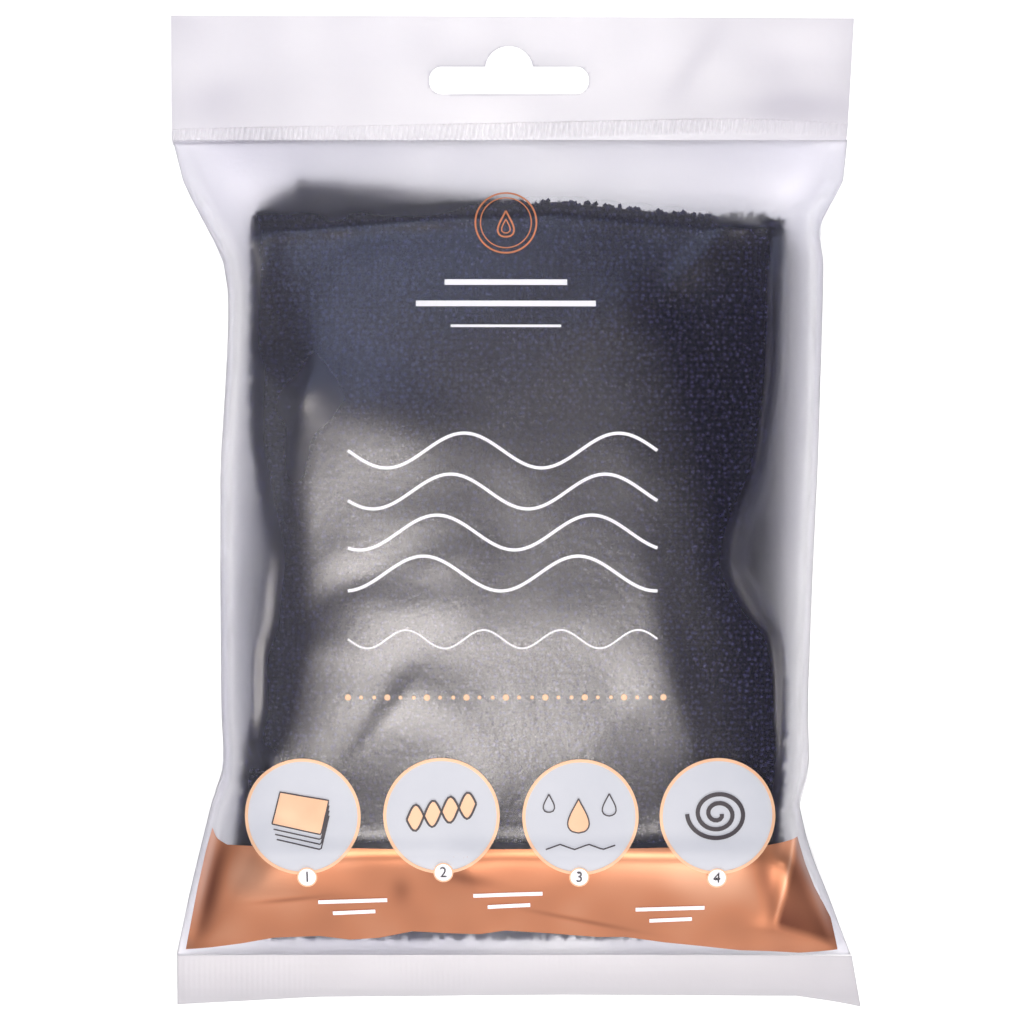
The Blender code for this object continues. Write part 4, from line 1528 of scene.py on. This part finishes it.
fills = []
lines = []
centre = DISC_CENTRES[0]
sides = ([LEFT_TOP, LEFT_LOW], [RIGHT_TOP, RIGHT_LOW], [LEFT_LOW, RIGHT_LOW], [LEFT_TOP, RIGHT_TOP])
fills.append(filled(*sides, centre, 12, 8))
lines.append(drawn([LEFT_LOW, LEFT_TOP, RIGHT_TOP, RIGHT_LOW, LEFT_LOW], centre))
for step in TOWEL_EDGES:
    edge = [(LEFT_LOW[0] + step * 0.3, LEFT_LOW[1] + step), (RIGHT_LOW[0], RIGHT_LOW[1] + step)]
    lines.append(drawn([*edge, (RIGHT_TOP[0], RIGHT_TOP[1] + step)], centre))


def twist(t, height):
    """A point of the twist at share t of its length, this far over its sloping middle line."""
    return -TWIST_HALF + 2 * TWIST_HALF * t, TWIST_LEVEL + height - TWIST_RISE * t


centre = DISC_CENTRES[1]
for phase in (0, np.pi):
    wave = [twist(t, TWIST_LINE * np.sin(4 * np.pi * t + phase)) for t in np.linspace(0, 1, 60)]
    lines.append(drawn(wave, centre, 1.6 * LINE_WIDTH))
for k in range(4):
    middle = 0.125 + 0.25 * k
    span = np.linspace(middle - 0.12, middle + 0.12, 9)
    top = [twist(t, -TWIST_FILL * abs(np.sin(4 * np.pi * t))) for t in span]
    low = [twist(t, TWIST_FILL * abs(np.sin(4 * np.pi * t))) for t in span]
    fills.append(filled([low[0], top[0]], [low[-1], top[-1]], low, top, centre, 8, 6))

cx, cy = DISC_CENTRES[2]
drops = [(cx + x, cy + y, size) for x, y, size in DROPS]
fills.append(filled_drop("fill", *drops[0]))
for drop in drops:
    lines.append(stroke("line", drop_path(*drop), LINE_WIDTH))
lines.append(drawn(RIPPLE, (cx, cy)))

cx, cy = DISC_CENTRES[3]
coil = [
    (
        cx + (COIL_START + COIL_GROWTH[0] * t) * np.cos(5 * np.pi * t),
        cy + COIL_LEVEL + (COIL_START + COIL_GROWTH[1] * t) * np.sin(5 * np.pi * t),
    )
    for t in np.linspace(0, 1, 140)
]
lines.append(stroke("line", coil, 3.2 * LINE_WIDTH))
ink(joined("warm_fills", fills), FILL, peach_ink, "copper_print")
ink(joined("drawn_lines", lines), LINE, line_ink, "pale_print")

# %% [markdown]
# ## Print: emblem, waves and rules
# The front carries plain ornament in copper and white: a drop in a ring, three rules, long thin waves over
# the middle of the cloth, and a row of dots under them. Short white rules stand under three of the discs.

# %% Ornament
ORNAMENT = 3
RING_MIDDLE = (506, 228)
# Lines of the emblem in millimetres: the two rings by radius, and the two drops by level and size
EMBLEM_RINGS = [(30, 0.36), (25, 0.24)]
EMBLEM_DROPS = [(232, 13, 0.36), (233, 7, 0.26)]
DOT_LEVEL, DOT_SPAN, DOT_COUNT, DOT_SIZES = 693, (352, 660), 25, (3.0, 1.8)
# Rules in photo pixels, from x0 to x1 at a level, with their width in millimetres
RULES = [(446, 566, 287, 1.1), (418, 594, 308, 1.1), (452, 560, 330, 0.5)]
WAVE_SPAN = (352, 654)
WAVE_LEVELS, WAVE_HEIGHT, WAVE_PHASE, WAVE_LINE = (452, 492, 532, 572), 17, 0.55, 0.62 * MM
LOW_WAVE_LEVEL, LOW_WAVE_HEIGHT, LOW_WAVE_LINE = 636, 9, 0.34 * MM
SHORT_RULES_AT, SHORT_RULE_LINE = ((355, 900), (508, 893), (668, 908)), 0.8 * MM


def wave_path(level, height, half_waves, phase=0.0):
    """A wave across the cloth with this many half waves, in photo pixels."""
    start, stop = WAVE_SPAN
    across = np.linspace(start, stop, 160)
    turns = [(x - start) / (stop - start) * half_waves * math.pi + phase for x in across]
    return [(x, level + height * math.sin(turn)) for x, turn in zip(across, turns)]


emblem = [stroke("line", round_path(*RING_MIDDLE, radius), line * MM) for radius, line in EMBLEM_RINGS]
for level, size, line in EMBLEM_DROPS:
    emblem.append(stroke("line", drop_path(RING_MIDDLE[0], level, size), line * MM))
dots = [
    disc("dot", x, DOT_LEVEL, DOT_SIZES[0] if i % 3 == 0 else DOT_SIZES[1])
    for i, x in enumerate(np.linspace(*DOT_SPAN, DOT_COUNT))
]
ink(joined("copper_emblem", emblem), ORNAMENT, orange_ink, "copper_print")
ink(joined("copper_dots", dots), ORNAMENT, peach_ink, "copper_print")
white = [stroke("line", [(x0, level), (x1, level)], line * MM) for x0, x1, level, line in RULES]
for row, level in enumerate(WAVE_LEVELS):
    white.append(stroke("line", wave_path(level, WAVE_HEIGHT, 4, row * WAVE_PHASE), WAVE_LINE))
white.append(stroke("line", wave_path(LOW_WAVE_LEVEL, LOW_WAVE_HEIGHT, 8), LOW_WAVE_LINE))
for x, y in SHORT_RULES_AT:
    white.append(stroke("line", [(x - 34, y - 4), (x + 34, y - 6)], SHORT_RULE_LINE))
    white.append(stroke("line", [(x - 20, y + 8), (x + 22, y + 6)], SHORT_RULE_LINE))
ink(joined("white_lines", white), ORNAMENT, white_ink, "white_print")
